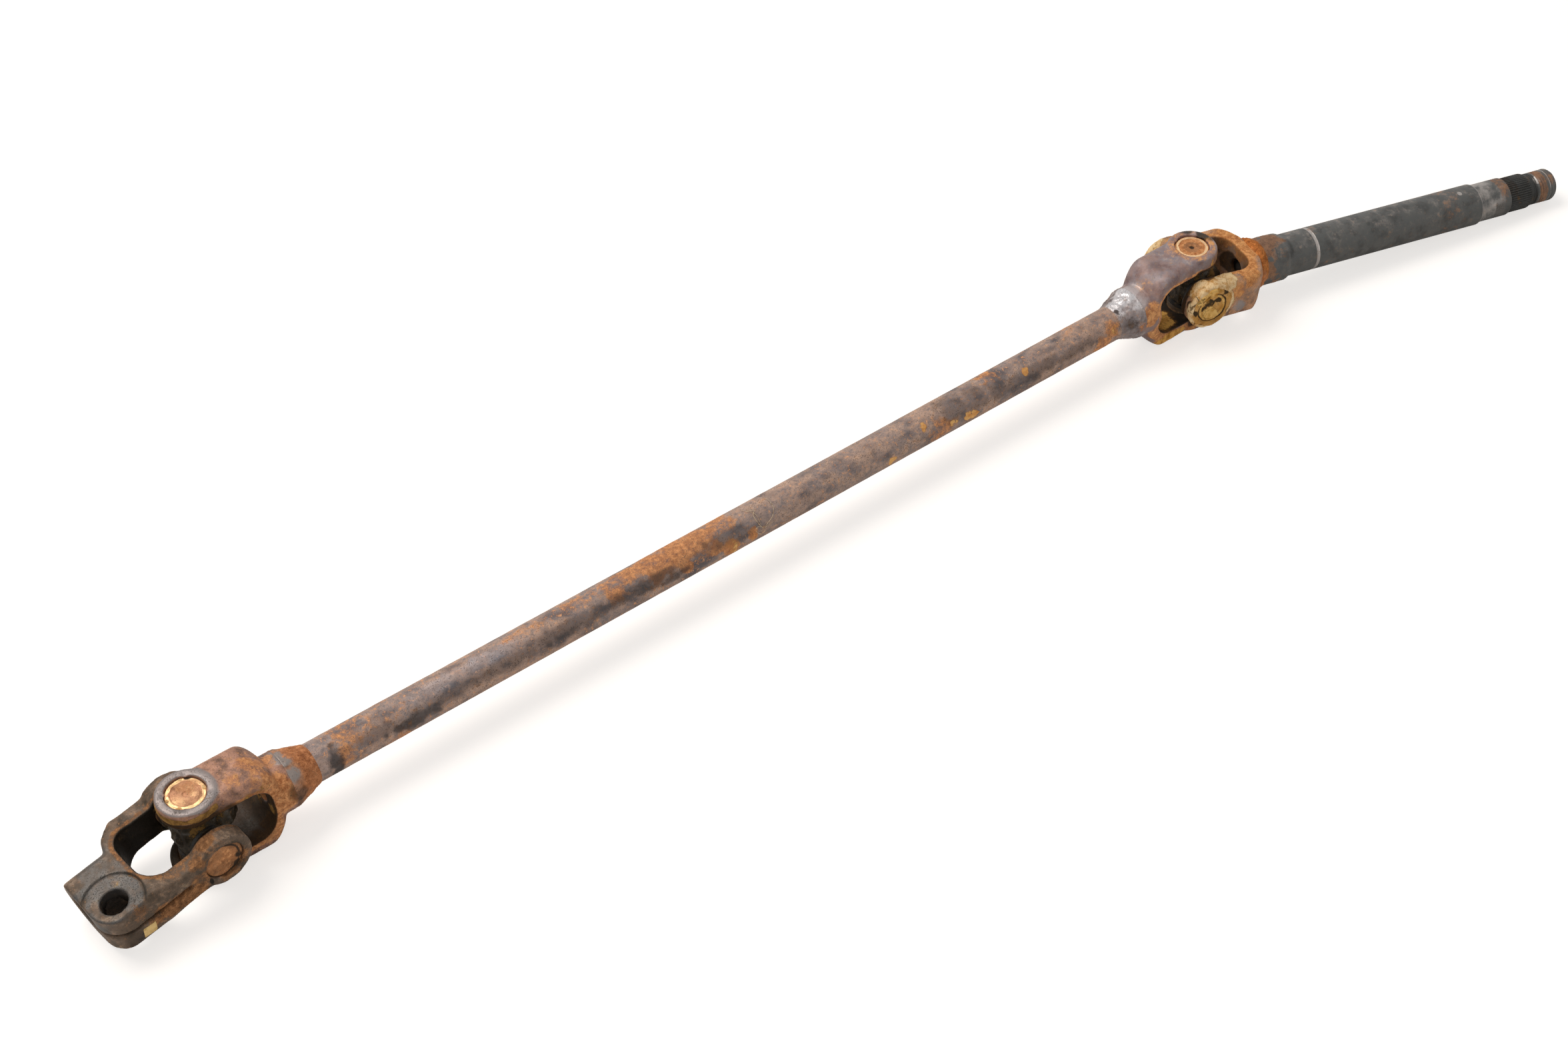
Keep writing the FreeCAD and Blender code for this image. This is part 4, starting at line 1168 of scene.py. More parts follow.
@dataclass
class BearingCup:
    """A drawn bearing cup: closed floor with pressed rings, chamfered rim and open mouth."""

    name: str
    limb: Limb
    direction: int
    side: int
    patches: tuple[Patch, ...]
    crust: float
    seed: int
    face: float = 19.8
    outer: float = 7.93
    inner: float = 6.98
    floor: float = 1.5
    length: float = 9.3
    columns: int = 84

    def section(self) -> np.ndarray:
        """Outline from the inner floor round the mouth to the outer face's middle, in mm."""
        inner_floor = self.face - self.floor
        mouth = self.face - self.length
        outline = [(inner_floor, 0.4), (inner_floor, 3.5), (inner_floor, self.inner),
                   (mouth, self.inner), (mouth, self.outer)]
        outline += [(self.face - level, self.outer) for level in (3.0, 1.4, 0.8)]
        radii = np.concatenate([np.linspace(self.outer, 7.0, 7)[1:], np.linspace(6.9, 0.15, 44)])
        fall = 0.40 * ramp(radii, 7.3, self.outer) ** 1.3
        ring = -0.16 * np.exp(-((radii - 5.5) / 0.28) ** 2)
        ring += 0.10 * np.exp(-((radii - 6.2) / 0.35) ** 2) - 0.05 * ramp(radii, 5.2, 4.6)
        dimple = -0.4 * (1 - ramp(radii, 0.9, 1.5))
        outline += list(zip(self.face - fall + ring + dimple, radii))
        return np.array(outline)

    def build(self) -> bpy.types.Object:
        """Makes the cup.

        The outline is turned about the pin axis. The outer face is raised by layered noise
        where dirt has dried on it.

        Returns:
            The finished object with its channels stored.
        """
        axial, radius = (np.repeat(column[:, None], self.columns, axis=1)
                         for column in self.section().T)
        place = revolve(axial, radius)
        noise = layered_noise(place, 2.6, self.seed)
        fine = layered_noise(place, 0.9, self.seed + 7)
        on_face = (axial > self.face - 1.0) & (radius < self.outer - 0.02)
        axial = axial + on_face * (self.crust * noise + 0.04 * fine - 0.04)
        turned = self.limb.turned_to(self.direction, self.side)
        made = turned_surface(self.name, turned, axial, radius)
        points = read_points(made.data)
        masks = patch_masks(self.limb.near(points), self.patches, self.seed, 3.0)
        barrel = self.limb.local(points)[:, self.direction] * self.side
        raise_masks(masks, {Channel.SOOT: 0.9 * (1 - ramp(barrel, 13.2, 14.6))})
        store_looks(made.data, masks)
        return made


@dataclass
class MudCake:
    """Mud dried over an ear and its cup: a thick rim, a thin ring and a cracked pool."""

    name: str
    limb: Limb
    side: int
    patches: tuple[Patch, ...]
    face: float = 20.8
    reach: float = 11.5
    rows: int = 66
    columns: int = 168
    seed: int = 77

    def build(self) -> bpy.types.Object:
        """Makes the cake across the pin axis, on the outer side of the ear.

        Its back is flat and lies inside the ear. Over the distance from the pin axis its
        front is a sum of bell curves, one for the rim and one for the thin ring, plus
        layered noise, and it falls below the ear's face at the edge.

        Returns:
            The finished object with its channels stored.
        """
        angle = full_turn(self.columns)
        share = np.linspace(1.0, 0.012, self.rows)[:, None]
        around = np.stack([np.cos(angle), np.sin(angle), np.zeros(self.columns)], axis=1)
        edge = self.reach * (0.97 + 0.05 * layered_noise(around * 9.0, 7.0, self.seed))
        radius = share * edge
        flat = radius[:, :, None] * around
        broad = layered_noise(flat, 5.0, self.seed + 1)
        fine = layered_noise(flat, 1.6, self.seed + 2)
        rim = np.exp(-((radius - 8.9 - 0.6 * broad) / 1.5) ** 2)
        thin = np.exp(-((radius - 6.2 - 0.5 * broad) / 0.35) ** 2)
        height = 0.20 + (0.75 + 0.3 * broad) * rim + 0.38 * thin * ramp(broad, -0.7, -0.1)
        height += 0.22 * broad + 0.12 * fine
        front = self.face - 0.6 + ramp(edge - radius, 0.0, 1.3) * (0.6 + height)
        back = np.array([0.3, 0.5 * self.reach, 0.94 * self.reach])[:, None]
        back = np.repeat(back, self.columns, axis=1)
        axial = np.concatenate([np.full_like(back, self.face - 0.7), front])
        made = turned_surface(self.name, self.limb.turned_to(1, self.side), axial,
                              np.concatenate([back, radius]))
        local = self.limb.local(read_points(made.data))
        store_looks(made.data, patch_masks(local, self.patches, self.seed, 2.6))
        return made


@dataclass
class TurnedShaft:
    """The black shaft: collar, ringed journal, seat, spline, thread and rounded tip."""

    limb: Limb
    base: float = 33.0
    collar: float = 11.2
    collar_end: float = 49.5
    journal: float = 10.0
    ring: float = 66.5
    shoulder: float = 162.5
    seat: float = 9.2
    seat_end: float = 180.7
    spline: float = 8.6
    spline_end: float = 193.7
    teeth: int = 48
    thread: float = 7.8
    pitch: float = 1.5
    ring_depth: float = 0.28
    tooth_depth: float = 0.50
    thread_depth: float = 0.80
    groove_depth: float = 0.35
    spigot: float = 8.0
    tip: float = 210.7
    tip_length: float = 2.6
    tip_fall: float = 3.6
    columns: int = 288
    seed: int = 17

    def stations(self) -> np.ndarray:
        """Places along the axis, close together where the section changes."""
        marks = ((self.base - 3.6, 0.9), (self.base, 0.75), (self.collar_end + 4, 1.6),
                 (self.ring - 2, 0.25), (self.ring + 2, 3.0), (self.shoulder - 14, 0.6),
                 (self.shoulder - 1, 0.3), (self.shoulder + 2, 1.2),
                 (self.seat_end - 0.6, 0.2), (self.seat_end + 0.6, 1.2),
                 (self.spline_end - 1, 0.2), (self.spline_end + 0.6, self.pitch / 7),
                 (self.tip - 4.4, 0.16), (self.tip, 1.0))
        parts = [np.arange(low, high - 1e-6, step)
                 for (low, step), (high, _) in zip(marks, marks[1:])]
        return np.concatenate(parts + [np.array([self.tip])])

    def radii(self, axial: np.ndarray, angle: np.ndarray) -> np.ndarray:
        """Radius by place and angle.

        A chain of smooth steps gives the lathe profile. The spline takes off a trapezoid
        wave with one period a tooth. The thread takes off a triangle wave of place over
        pitch less angle over a full turn. The tip rounds off as a quarter ellipse.

        Args:
            axial: Places along the axis in mm.
            angle: Angles round it in radians.

        Returns:
            An array of places by angles, in mm.
        """
        x = axial[:, None]
        profile = self.spigot
        for rise, low, high in (
                (self.collar - self.spigot, self.base - 0.9, self.base + 0.1),
                (self.journal - self.collar, self.collar_end - 0.5, self.collar_end + 3.2),
                (-self.ring_depth, self.ring - 0.9, self.ring - 0.5),
                (self.ring_depth, self.ring + 0.5, self.ring + 0.9),
                (self.seat - self.journal, self.shoulder - 0.1, self.shoulder + 1.2),
                (self.spline - self.seat, self.seat_end - 0.2, self.seat_end + 0.2),
                (self.thread - self.spline, self.spline_end - 0.1, self.spline_end + 0.3)):
            profile = profile + rise * ramp(x, low, high)
        wave = np.clip(np.cos(self.teeth * angle) * 1.5, -1, 1) * 0.5 + 0.5
        toothed = ramp(x, self.seat_end - 0.1, self.seat_end + 0.5)
        toothed = toothed * (1 - ramp(x, self.spline_end - 0.5, self.spline_end + 0.1))
        profile = profile - self.tooth_depth * wave * toothed
        groove = self.tip - 4.3
        turns = (x / self.pitch - angle / (2 * math.pi)) % 1.0
        cut = np.abs(turns * 2 - 1) ** 1.15
        worn = 0.35 + 0.65 * ramp(x, self.spline_end + 2.0, self.spline_end + 4.5)
        threaded = ramp(x, self.spline_end + 0.8, self.spline_end + 2.2)
        threaded = threaded * (1 - 0.8 * ramp(x, groove - 5.0, groove - 4.0))
        threaded = threaded * (1 - ramp(x, groove - 1.9, groove - 1.2))
        profile = profile - self.thread_depth * cut * threaded * worn
        profile -= self.groove_depth * (ramp(x, groove - 0.5, groove - 0.3)
                                        - ramp(x, groove + 0.5, groove + 0.8))
        left = np.clip((self.tip - x) / self.tip_length, 0, 1)
        return profile - self.tip_fall * (1 - np.sqrt(1 - (1 - left) ** 2))

    def worn_bands(self, local: np.ndarray) -> dict[Channel, np.ndarray]:
        """Bands round the shaft: bright where metal ran on it, brown and black elsewhere.

        Some of it is painted light: bright spots and the thread's crests on the upper side are
        painted highlight, and one dark band lies only on the underside as painted shade.

        Args:
            local: The vertices in the limb's mm.

        Returns:
            One array for each channel that has bands.
        """
        x = local[:, 0]
        reach = np.linalg.norm(local[:, 1:], axis=1)
        # How far round a place is towards the top. Bare marks that follow it are partly painted
        # highlight, and the dark band that shuns it is painted shade.
        upper = ramp(local[:, 2] / reach.clip(0.1), 0.2, 0.9)
        sway = layered_noise(local, 6.0, self.seed + 3)
        cloud = layered_noise(local, 8.0, self.seed + 9)

        def band(low: float, high: float, soft: float, wobble: float = 0.9) -> np.ndarray:
            """1 between two places along the shaft, with soft ends."""
            place = x + wobble * sway
            return ramp(place, low - soft, low) - ramp(place, high, high + soft)

        def spot(centre: Triple, inner: float, outer: float) -> np.ndarray:
            """1 within the inner radius of a place, 0 beyond the outer one."""
            return 1 - ramp(np.linalg.norm(local - np.array(centre), axis=1), inner, outer)

        crest = ramp(reach, self.thread - 0.25, self.thread - 0.05)
        lip = band(self.tip - 5.3, self.tip - 4.9, 0.25, 0.2) * (0.4 + 0.6 * upper)
        seat = band(self.shoulder + 0.8, self.seat_end - 3.5, 0.8)
        return {
            Channel.BARE: np.maximum.reduce([
                band(self.ring - 0.55, self.ring + 0.55, 0.5, 0.25) * 1.2, lip,
                seat * (0.42 + 0.35 * cloud), crest * 0.25 * upper,
                # Bright spots on the top: painted highlights.
                1.25 * spot((199.0, -2.8, 7.3), 1.0, 3.2),
                1.3 * spot((152.7, -1.1, 9.9), 0.7, 1.5),
                0.8 * spot((177.2, -2.8, 8.8), 0.5, 1.3),
                band(self.shoulder - 0.2, self.shoulder + 0.6, 0.2, 0.2) * 0.55]),
            Channel.RUST: np.maximum.reduce([
                band(141.5, 148.5, 4.0, 2.5) * (0.26 + 0.2 * cloud),
                band(self.seat_end - 5.5, self.seat_end + 5.0, 1.2) * 0.45 * upper,
                band(self.ring + 1.2, self.ring + 4.0, 3.0) * 0.2,
                band(self.tip - 10.8, self.tip - 7.2, 0.6) * 0.6,
                band(self.tip - 7.0, self.tip - 1.5, 1.0) * upper * 0.3]),
            Channel.SOOT: np.maximum.reduce([
                band(self.seat_end + 1.0, self.spline_end + 4.5, 0.8) * 0.62,
                # Dark only on the underside: painted shade.
                band(self.seat_end - 9.0, self.seat_end - 4.0, 2.0) * (0.5 - 0.5 * upper),
                1 - ramp(x, self.base - 0.8, self.base - 0.2)])}

    def build(self) -> bpy.types.Object:
        """Makes the shaft with its worn bands stored as channels."""
        axial = self.stations()
        radius = self.radii(axial, full_turn(self.columns))
        place = revolve(axial, radius)
        rough = 1 - ramp(place[:, :, 0], self.collar_end - 3, self.collar_end + 6)
        rough = rough + (ramp(place[:, :, 0], self.tip - 7.0, self.tip - 5.0)
                         * ramp(place[:, :, 2], 3.0, 7.0))
        noise = layered_noise(place, 2.8, self.seed) * (0.012 + 0.20 * rough)
        made = turned_surface("turned_shaft", self.limb, axial, radius + noise * (radius > 2))
        points = read_points(made.data)
        patches = (
            rust(34, -8, 5, 15, 1.2, ragged=0.7), rust(40, -10, -8, 8, 0.8, ragged=0.9),
            rust(43, -10, 6, 8, 0.45), bare(45, -8, 9, 8, 0.3), soot(48, -16, 4, 7, 0.35))
        masks = patch_masks(self.limb.near(points), patches, self.seed)
        raise_masks(masks, self.worn_bands(self.limb.local(points)))
        store_looks(made.data, masks)
        return made


# sub-assemblies

@dataclass
class Frames:
    """The limbs' frames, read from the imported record."""

    joints: np.ndarray
    rod: Limb
    rod_top: Limb
    lower_cross: Limb
    upper_cross: Limb
    clamp: Limb
    shaft: Limb
    bolt: np.ndarray

    @classmethod
    def read(cls, record: dict) -> "Frames":
        """Works the frames out from the joints and mounts.

        Args:
            record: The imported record.

        Returns:
            The frames of every limb.
        """
        items = {item["name"]: item for item in record["behaviour"]["joints"] + record["mounts"]}

        def part(name: str, key: str) -> np.ndarray:
            """A place or axis of a joint or mount."""
            return np.array(items[name][key], float)

        joints = np.stack([part("lower_rod_pivot", "pos_m"), part("upper_rod_pivot", "pos_m")])
        lower, upper = joints
        lower_pin = part("lower_clamp_pivot", "axis")
        upper_pin = part("upper_shaft_pivot", "axis")
        up = np.array([0.0, 0.0, 1.0])

        def limb(origin: np.ndarray, along: np.ndarray, side: np.ndarray) -> Limb:
            """A frame from its along and side axes."""
            return Limb(origin, np.stack([along, side, np.cross(along, side)]), joints)

        return cls(
            joints, Limb(lower, np.eye(3), joints),
            Limb(upper, np.diag([-1.0, -1.0, 1.0]), joints),
            limb(lower, np.cross(lower_pin, up), lower_pin),
            limb(upper, np.cross(upper_pin, up), upper_pin),
            limb(lower, part("clamp_bore", "axis"), -lower_pin),
            limb(upper, part("shaft_journal", "axis"), upper_pin),
            part("pinch_bolt_hole", "pos_m"))

    def span(self) -> float:
        """Millimetres between the joint centres."""
        return float(np.linalg.norm(self.joints[1] - self.joints[0])) / MM


@dataclass
class Assembly:
    """What each sub-assembly is built from, and how its pieces are fitted."""

    frames: Frames
    materials: dict[str, bpy.types.Material]
    solids: dict[str, bpy.types.Object]

    def fit(self, piece: bpy.types.Object, finish: str, body: str, slot: str,
            *nodes: str) -> None:
        """Gives a piece its material, lets it ride on a body and stand for some solids.

        Args:
            piece: The piece.
            finish: The name of its finish.
            body: The body that it rides on.
            slot: Not used.
            *nodes: The solids that it stands for.
        """
        dress(piece, self.materials[finish])
        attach(piece, body)
        if nodes:
            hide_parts(*nodes)
        piece.data.calc_loop_triangles()
        log.info("%s: %d triangles", piece.name, len(piece.data.loop_triangles))

    def fit_forging(self, forging: Forging, finish: str, body: str, slot: str) -> None:
        """Builds a forging round its solid and fits it in the solid's stead."""
        self.fit(forging.build(self.solids[forging.node]), finish, body, slot, forging.node)

    def fit_cups(self, body: str, direction: int, seed: int,
                 plans: tuple[tuple[str, Limb, int, str, float, tuple[Patch, ...]], ...]) -> None:
        """Builds bearing cups and fits them.

        Args:
            body: The body that the cups ride on.
            direction: The limb axis that their pins lie on.
            seed: Picks the noise of their faces.
            plans: Each cup's solid, limb, side, finish, crust in mm and patches.
        """
        for node, limb, side, finish, crust, patches in plans:
            cup = BearingCup(node + "_shell", limb, direction, side, patches, crust, seed)
            self.fit(cup.build(), finish, body, "cup_steel", node)


@dataclass
class RodWeldment(Assembly):
    """The rod with its two yokes, the welds between them and the cups in the yokes."""

    hub_end: float = 37.5
    socket: float = 7.9

    def yokes(self) -> None:
        """Builds both forged rod yokes."""
        lower = Forging(
            "lower_rod_yoke", self.frames.rod, (
                rust(26, -3, 19, 9, 0.55), rust(28, -8, 16, 6, 0.6), rust(17, -6, 20, 6, 0.45),
                rust(31.5, -9, 9, 7, 0.9), rust(32.5, -12, 1, 7, 0.7), rust(32, 2, 14, 7, 0.5),
                rust(24, -11, -10, 10, 0.6), rust(22, -10, 18, 5, 0.45), mud(27.4, -3, 7, 5, 1),
                rust(27.4, -8, 0, 6, 1.1), mud(20, -11, 13, 6.5, 0.5), mud(26, 5, -5, 8, 0.45),
                mud(24, -2, 11, 7, 0.55), mud(28.5, -8, -2, 4, 0.6), bare(38, 1, 11, 6, 1.05),
                bare(39, -8, 8, 5, 0.75), soot(38, -11, 2, 6, 0.5), soot(22, -9, -12, 6, 0.35),
                soot(10, -11, 13, 9, 0.65, (1.2, 1, 0.6))),
            pin_axis=2, own_patches=(
                bare(0, 0, 21, 3.4, 0.82, (1, 1, 0.5), ring=9.8, ragged=0.2),
                soot(-6, -6, 21, 3.6, 0.4), mud(0, 0, 17.3, 1.9, 0.95, ring=11.3),
                soot(0, 0, 14, 2.4, 1.2, ring=11.2, ragged=0.2),
                soot(0, 0, -15.5, 4, 0.9, ring=11.4, ragged=0.2)),
            stakes=(-29, 62, 151, 242), grime=0.9, rim_rust=0.75, waves=0.12, grit=0.05, seed=21)
        upper = Forging(
            "upper_rod_yoke", self.frames.rod_top, (
                rust(-34.8, -11.6, 3, 6.5, 1), rust(-33, -11, 8, 5, 0.6),
                rust(-20, -11, -15, 8, 0.7), rust(-27, -10, -10, 7, 0.75),
                rust(-31, -2, 13, 6, 0.25), bare(-37, 2, 12, 7, 0.85), bare(-36, -5, 10, 6, 0.62),
                bare(-16, 3, 20.5, 5.5, 0.3), bare(-11, -6, 20, 4, 0.35),
                rust(-12, 3, 21, 4.5, 0.35), mud(-18, -11.5, -16.5, 9, 1.2, (1.6, 0.5, 0.4)),
                rust(-6, -10, -16, 6, 1.1), rust(-25, -10, -13, 6, 0.9),
                mud(-20, -1, -13, 11, 0.72, (1, 1, 0.3)),
                soot(-17, -7.5, -12.8, 2, 1.2, (3, 0.6, 1)), soot(-24, -2, 17, 8, 0.3)),
            pin_axis=2, own_patches=(
                rust(0, 0, 21, 2.9, 0.4, (1, 1, 0.6), ring=9), soot(-9.5, -3, 20.5, 4.5, 0.85),
                soot(-6, -9.5, 20.5, 4.5, 0.8), bare(-7, -7, 20.8, 4.2, 0.6),
                bare(-10, 1, 19, 4, 0.35), soot(-10.5, 2.5, 19, 3.5, 0.7),
                mud(-9, 7, 16.5, 5.5, 0.8), mud(-3, 11, 17.5, 4, 0.5),
                soot(0, 0, 13.4, 2.2, 0.8, ring=11.2), soot(0, 0, -15, 4, 0.8, ring=11.4)),
            stakes=(20, 110, 200, 290), rim_rust=0.65, grit=0.03, seed=47)
        self.fit_forging(lower, "lower_yoke", "rod", "rusty_forging")
        self.fit_forging(upper, "upper_yoke", "rod", "dark_forging")

    def bar(self) -> None:
        """Builds the rod and the fibres on it."""
        rod = RodBar(self.frames.rod, self.hub_end - self.socket,
                     self.frames.span() - self.hub_end + self.socket)
        self.fit(rod.build(), "rod", "rod", "rod_steel", "rod")
        self.fit(rod.fibres(), "dry_fibre", "rod", "rod_steel")

    def welds(self) -> None:
        """Builds both tapered welds."""
        profile = ((-1.2, 11.2), (-0.4, 11.9), (1.2, 11.7), (4.0, 10.7), (6.5, 9.9), (9.0, 8.9),
                   (11.5, 8.2), (12.4, 7.7))
        lower = WeldBead(
            "lower_weld", self.frames.rod, self.hub_end, profile, (
                bare(38.5, 0, 11.5, 5.5, 1.15), bare(39, -8, 8, 5, 0.9), soot(39, -11, 1, 5, 0.5),
                rust(46, -3, 8.7, 7, 0.85), rust(45, -8, 4, 7.5, 0.85), rust(44, 2, 9.5, 7, 0.8),
                rust(44, -8, -4, 8, 0.6)),
            lumps=0.35)
        upper = WeldBead(
            # The bare patches on the upper weld's top are partly worn metal and partly a painted
            # glint.
            "upper_weld", self.frames.rod_top, self.hub_end, profile, (
                bare(-40, 2, 11, 8, 0.95), bare(-45, 0, 9, 6.5, 0.8), bare(-40, -5, 9, 5, 0.6),
                soot(-45, -8, 3, 6, 0.45), rust(-38.5, -11, 0, 4, 0.5),
                soot(-48.5, -2.5, 8.4, 1.8, 0.7, ragged=1), rust(-41, 3, -9, 8, 0.4)),
            lumps=0.95, ripples=0.16, seed=31)
        self.fit(lower.build(), "lower_weld", "rod", "weld_metal", "lower_weld_bead")
        self.fit(upper.build(), "upper_weld", "rod", "weld_metal", "upper_weld_bead")

    def cups(self) -> None:
        """Builds the four cups in the rod yokes."""
        low, high = self.frames.rod, self.frames.rod_top
        self.fit_cups("rod", 2, 3, (
            ("lower_top_cup", low, 1, "dusty_cup", 0.30, (
                rust(2, 2, 20, 5, 0.55), bare(-4, -2, 20, 5, 0.45),
                # The pale ring near the rim is partly worn metal and partly painted highlight.
                bare(0, 0, 20, 1, 0.8, (1, 1, 2), ring=6.8, ragged=0.9),
                bare(2.5, -2, 20, 2.4, 0.5), rust(-1, 3.5, 20, 2.4, 0.5),
                mud(7.3, -1.6, 20, 1.5, 1.5), mud(-7.4, 1, 20, 1.2, 1.4),
                mud(-5.4, -5, 20, 1.3, 1.4), mud(1.6, 7.2, 20, 0.9, 1.2),
                soot(4.6, 6.4, 20, 1.5, 1.2, (1.6, 1, 1), ragged=0.15),
                soot(0, 0, 19.4, 0.5, 0.5, ring=7.9, ragged=0.1))),
            ("lower_bottom_cup", low, -1, "rusty_cup", 0.15, (mud(0, 0, -20, 8, 0.35),)),
            ("upper_top_cup", high, 1, "rusty_cup", 0.12, (
                rust(0, 0, 20, 1.6, 0.9, ring=4.9), rust(0, 0, 20, 3.2, 0.35),
                # The pale ring near the rim is partly worn metal and partly painted highlight.
                bare(0, 0, 20, 0.95, 1.3, (1, 1, 2), ring=6.7, ragged=0.3),
                rust(0, 0, 20, 0.8, 1.2, (1, 1, 2), ring=7.8),
                soot(0, 0, 19.6, 1.5, 0.95, ragged=0.1))),
            ("upper_bottom_cup", high, -1, "rusty_cup", 0.15, (mud(0, 0, -20, 8, 0.35),))))

    def build(self) -> None:
        """Builds the whole weldment."""
        self.yokes()
        self.bar()
        self.welds()
        self.cups()


@dataclass
class ClampYoke(Assembly):
    """The forged clamp yoke with its two cups."""

    def build(self) -> None:
        """Builds the yoke and its cups; a and b are the bolt hole's place in its frame."""
        limb = self.frames.clamp
        a, b, _ = limb.local(self.frames.bolt[None])[0]
        yoke = Forging(
            "clamp_yoke", limb, (
                rust(-2, -20, 6, 12, 0.3), rust(4, -23, -4, 10, 0.55), rust(0, 20, 0, 18, 0.2),
                rust(-16, -15, 6, 8, 0.4), rust(-19, -22, -6, 11, 0.85, (1.5, 1, 0.6)),
                rust(-10, -22, -3, 8, 0.5), rust(-14, 18, 5, 9, 0.15), rust(-27, 17, 4, 6, 0.2),
                rust(-27, 3, 0, 6, 0.5), bare(-29, -8, 6, 5, 0.4), soot(-40, -23, -6, 9, 0.35),
                mud(-22, -2, -6, 6, 0.3),
                mud(-32.5, -23.2, -10.4, 2.7, 1.7, square=True, ragged=0.1)),
            pin_axis=1, own_patches=(
                bare(a, b, 9.7, 2.2, 0.62, (1, 1, 0.7), ring=9.4, ragged=0.4),
                bare(a, b, 9.7, 0.9, 0.5, ring=5.4, ragged=0.4),
                soot(a, b, 9.9, 0.7, 0.6, (1, 1, 1.6), ring=11.9, ragged=0.3),
                bare(a - 2, 2, 4, 19, 0.62, (1, 1.3, 1), ragged=0.5),
                soot(a - 9, b + 6, 8, 9, 0.35), rust(a - 4, b + 12, 6, 7, 0.4),
                soot(a, b, 9.7, 9, 0.3, (1, 1, 0.3)), soot(a + 2, 22, -4, 9, 0.45),
                rust(3, 17, 10, 5, 0.8), rust(9, 19, 8, 6, 0.6),
                # These hard-edged dark marks paint shade into the pinch slit and the bolt hole,
                # over some dirt.
                soot(29, 18, 0.2, 1.5, 1.2, (8, 5, 0.8), ragged=0),
                soot(a, b, 3, 6.8, 1.5, ragged=0),
                soot(a - 8, b - 4, 0, 1.5, 1.3, (17, 12, 0.9), ragged=0),
                soot(8, 20.6, -4.5, 1.5, 1, (0.8, 1, 1.9), ragged=0.2)),
            stakes=(35, 125, 215, 305), machined=((a, b, 9.65, 11.6),), gap=(13.3, 26.8, 8.0),
            voxel=0.44, waves=0.11, mud_depth=0.25, rim_rust=0.5, seed=63)
        self.fit_forging(yoke, "clamp", "clamp_yoke", "clamp_forging")
        self.fit_cups("clamp_yoke", 1, 8, (
            ("lower_near_cup", limb, 1, "rusty_cup", 0.10, (
                rust(2, -19, 0, 6, 0.35), soot(7, -19, -2, 2.2, 0.8), soot(6, -19, -5.4, 2, 1),
                soot(0, -20, 0, 0.8, 0.7, (1, 2, 1), ring=7.6, axis=1, ragged=0.25),
                soot(-2, -19, -4, 4, 0.35))),
            ("lower_far_cup", limb, -1, "rusty_cup", 0.10, (mud(0, 20, 0, 8, 0.3),))))


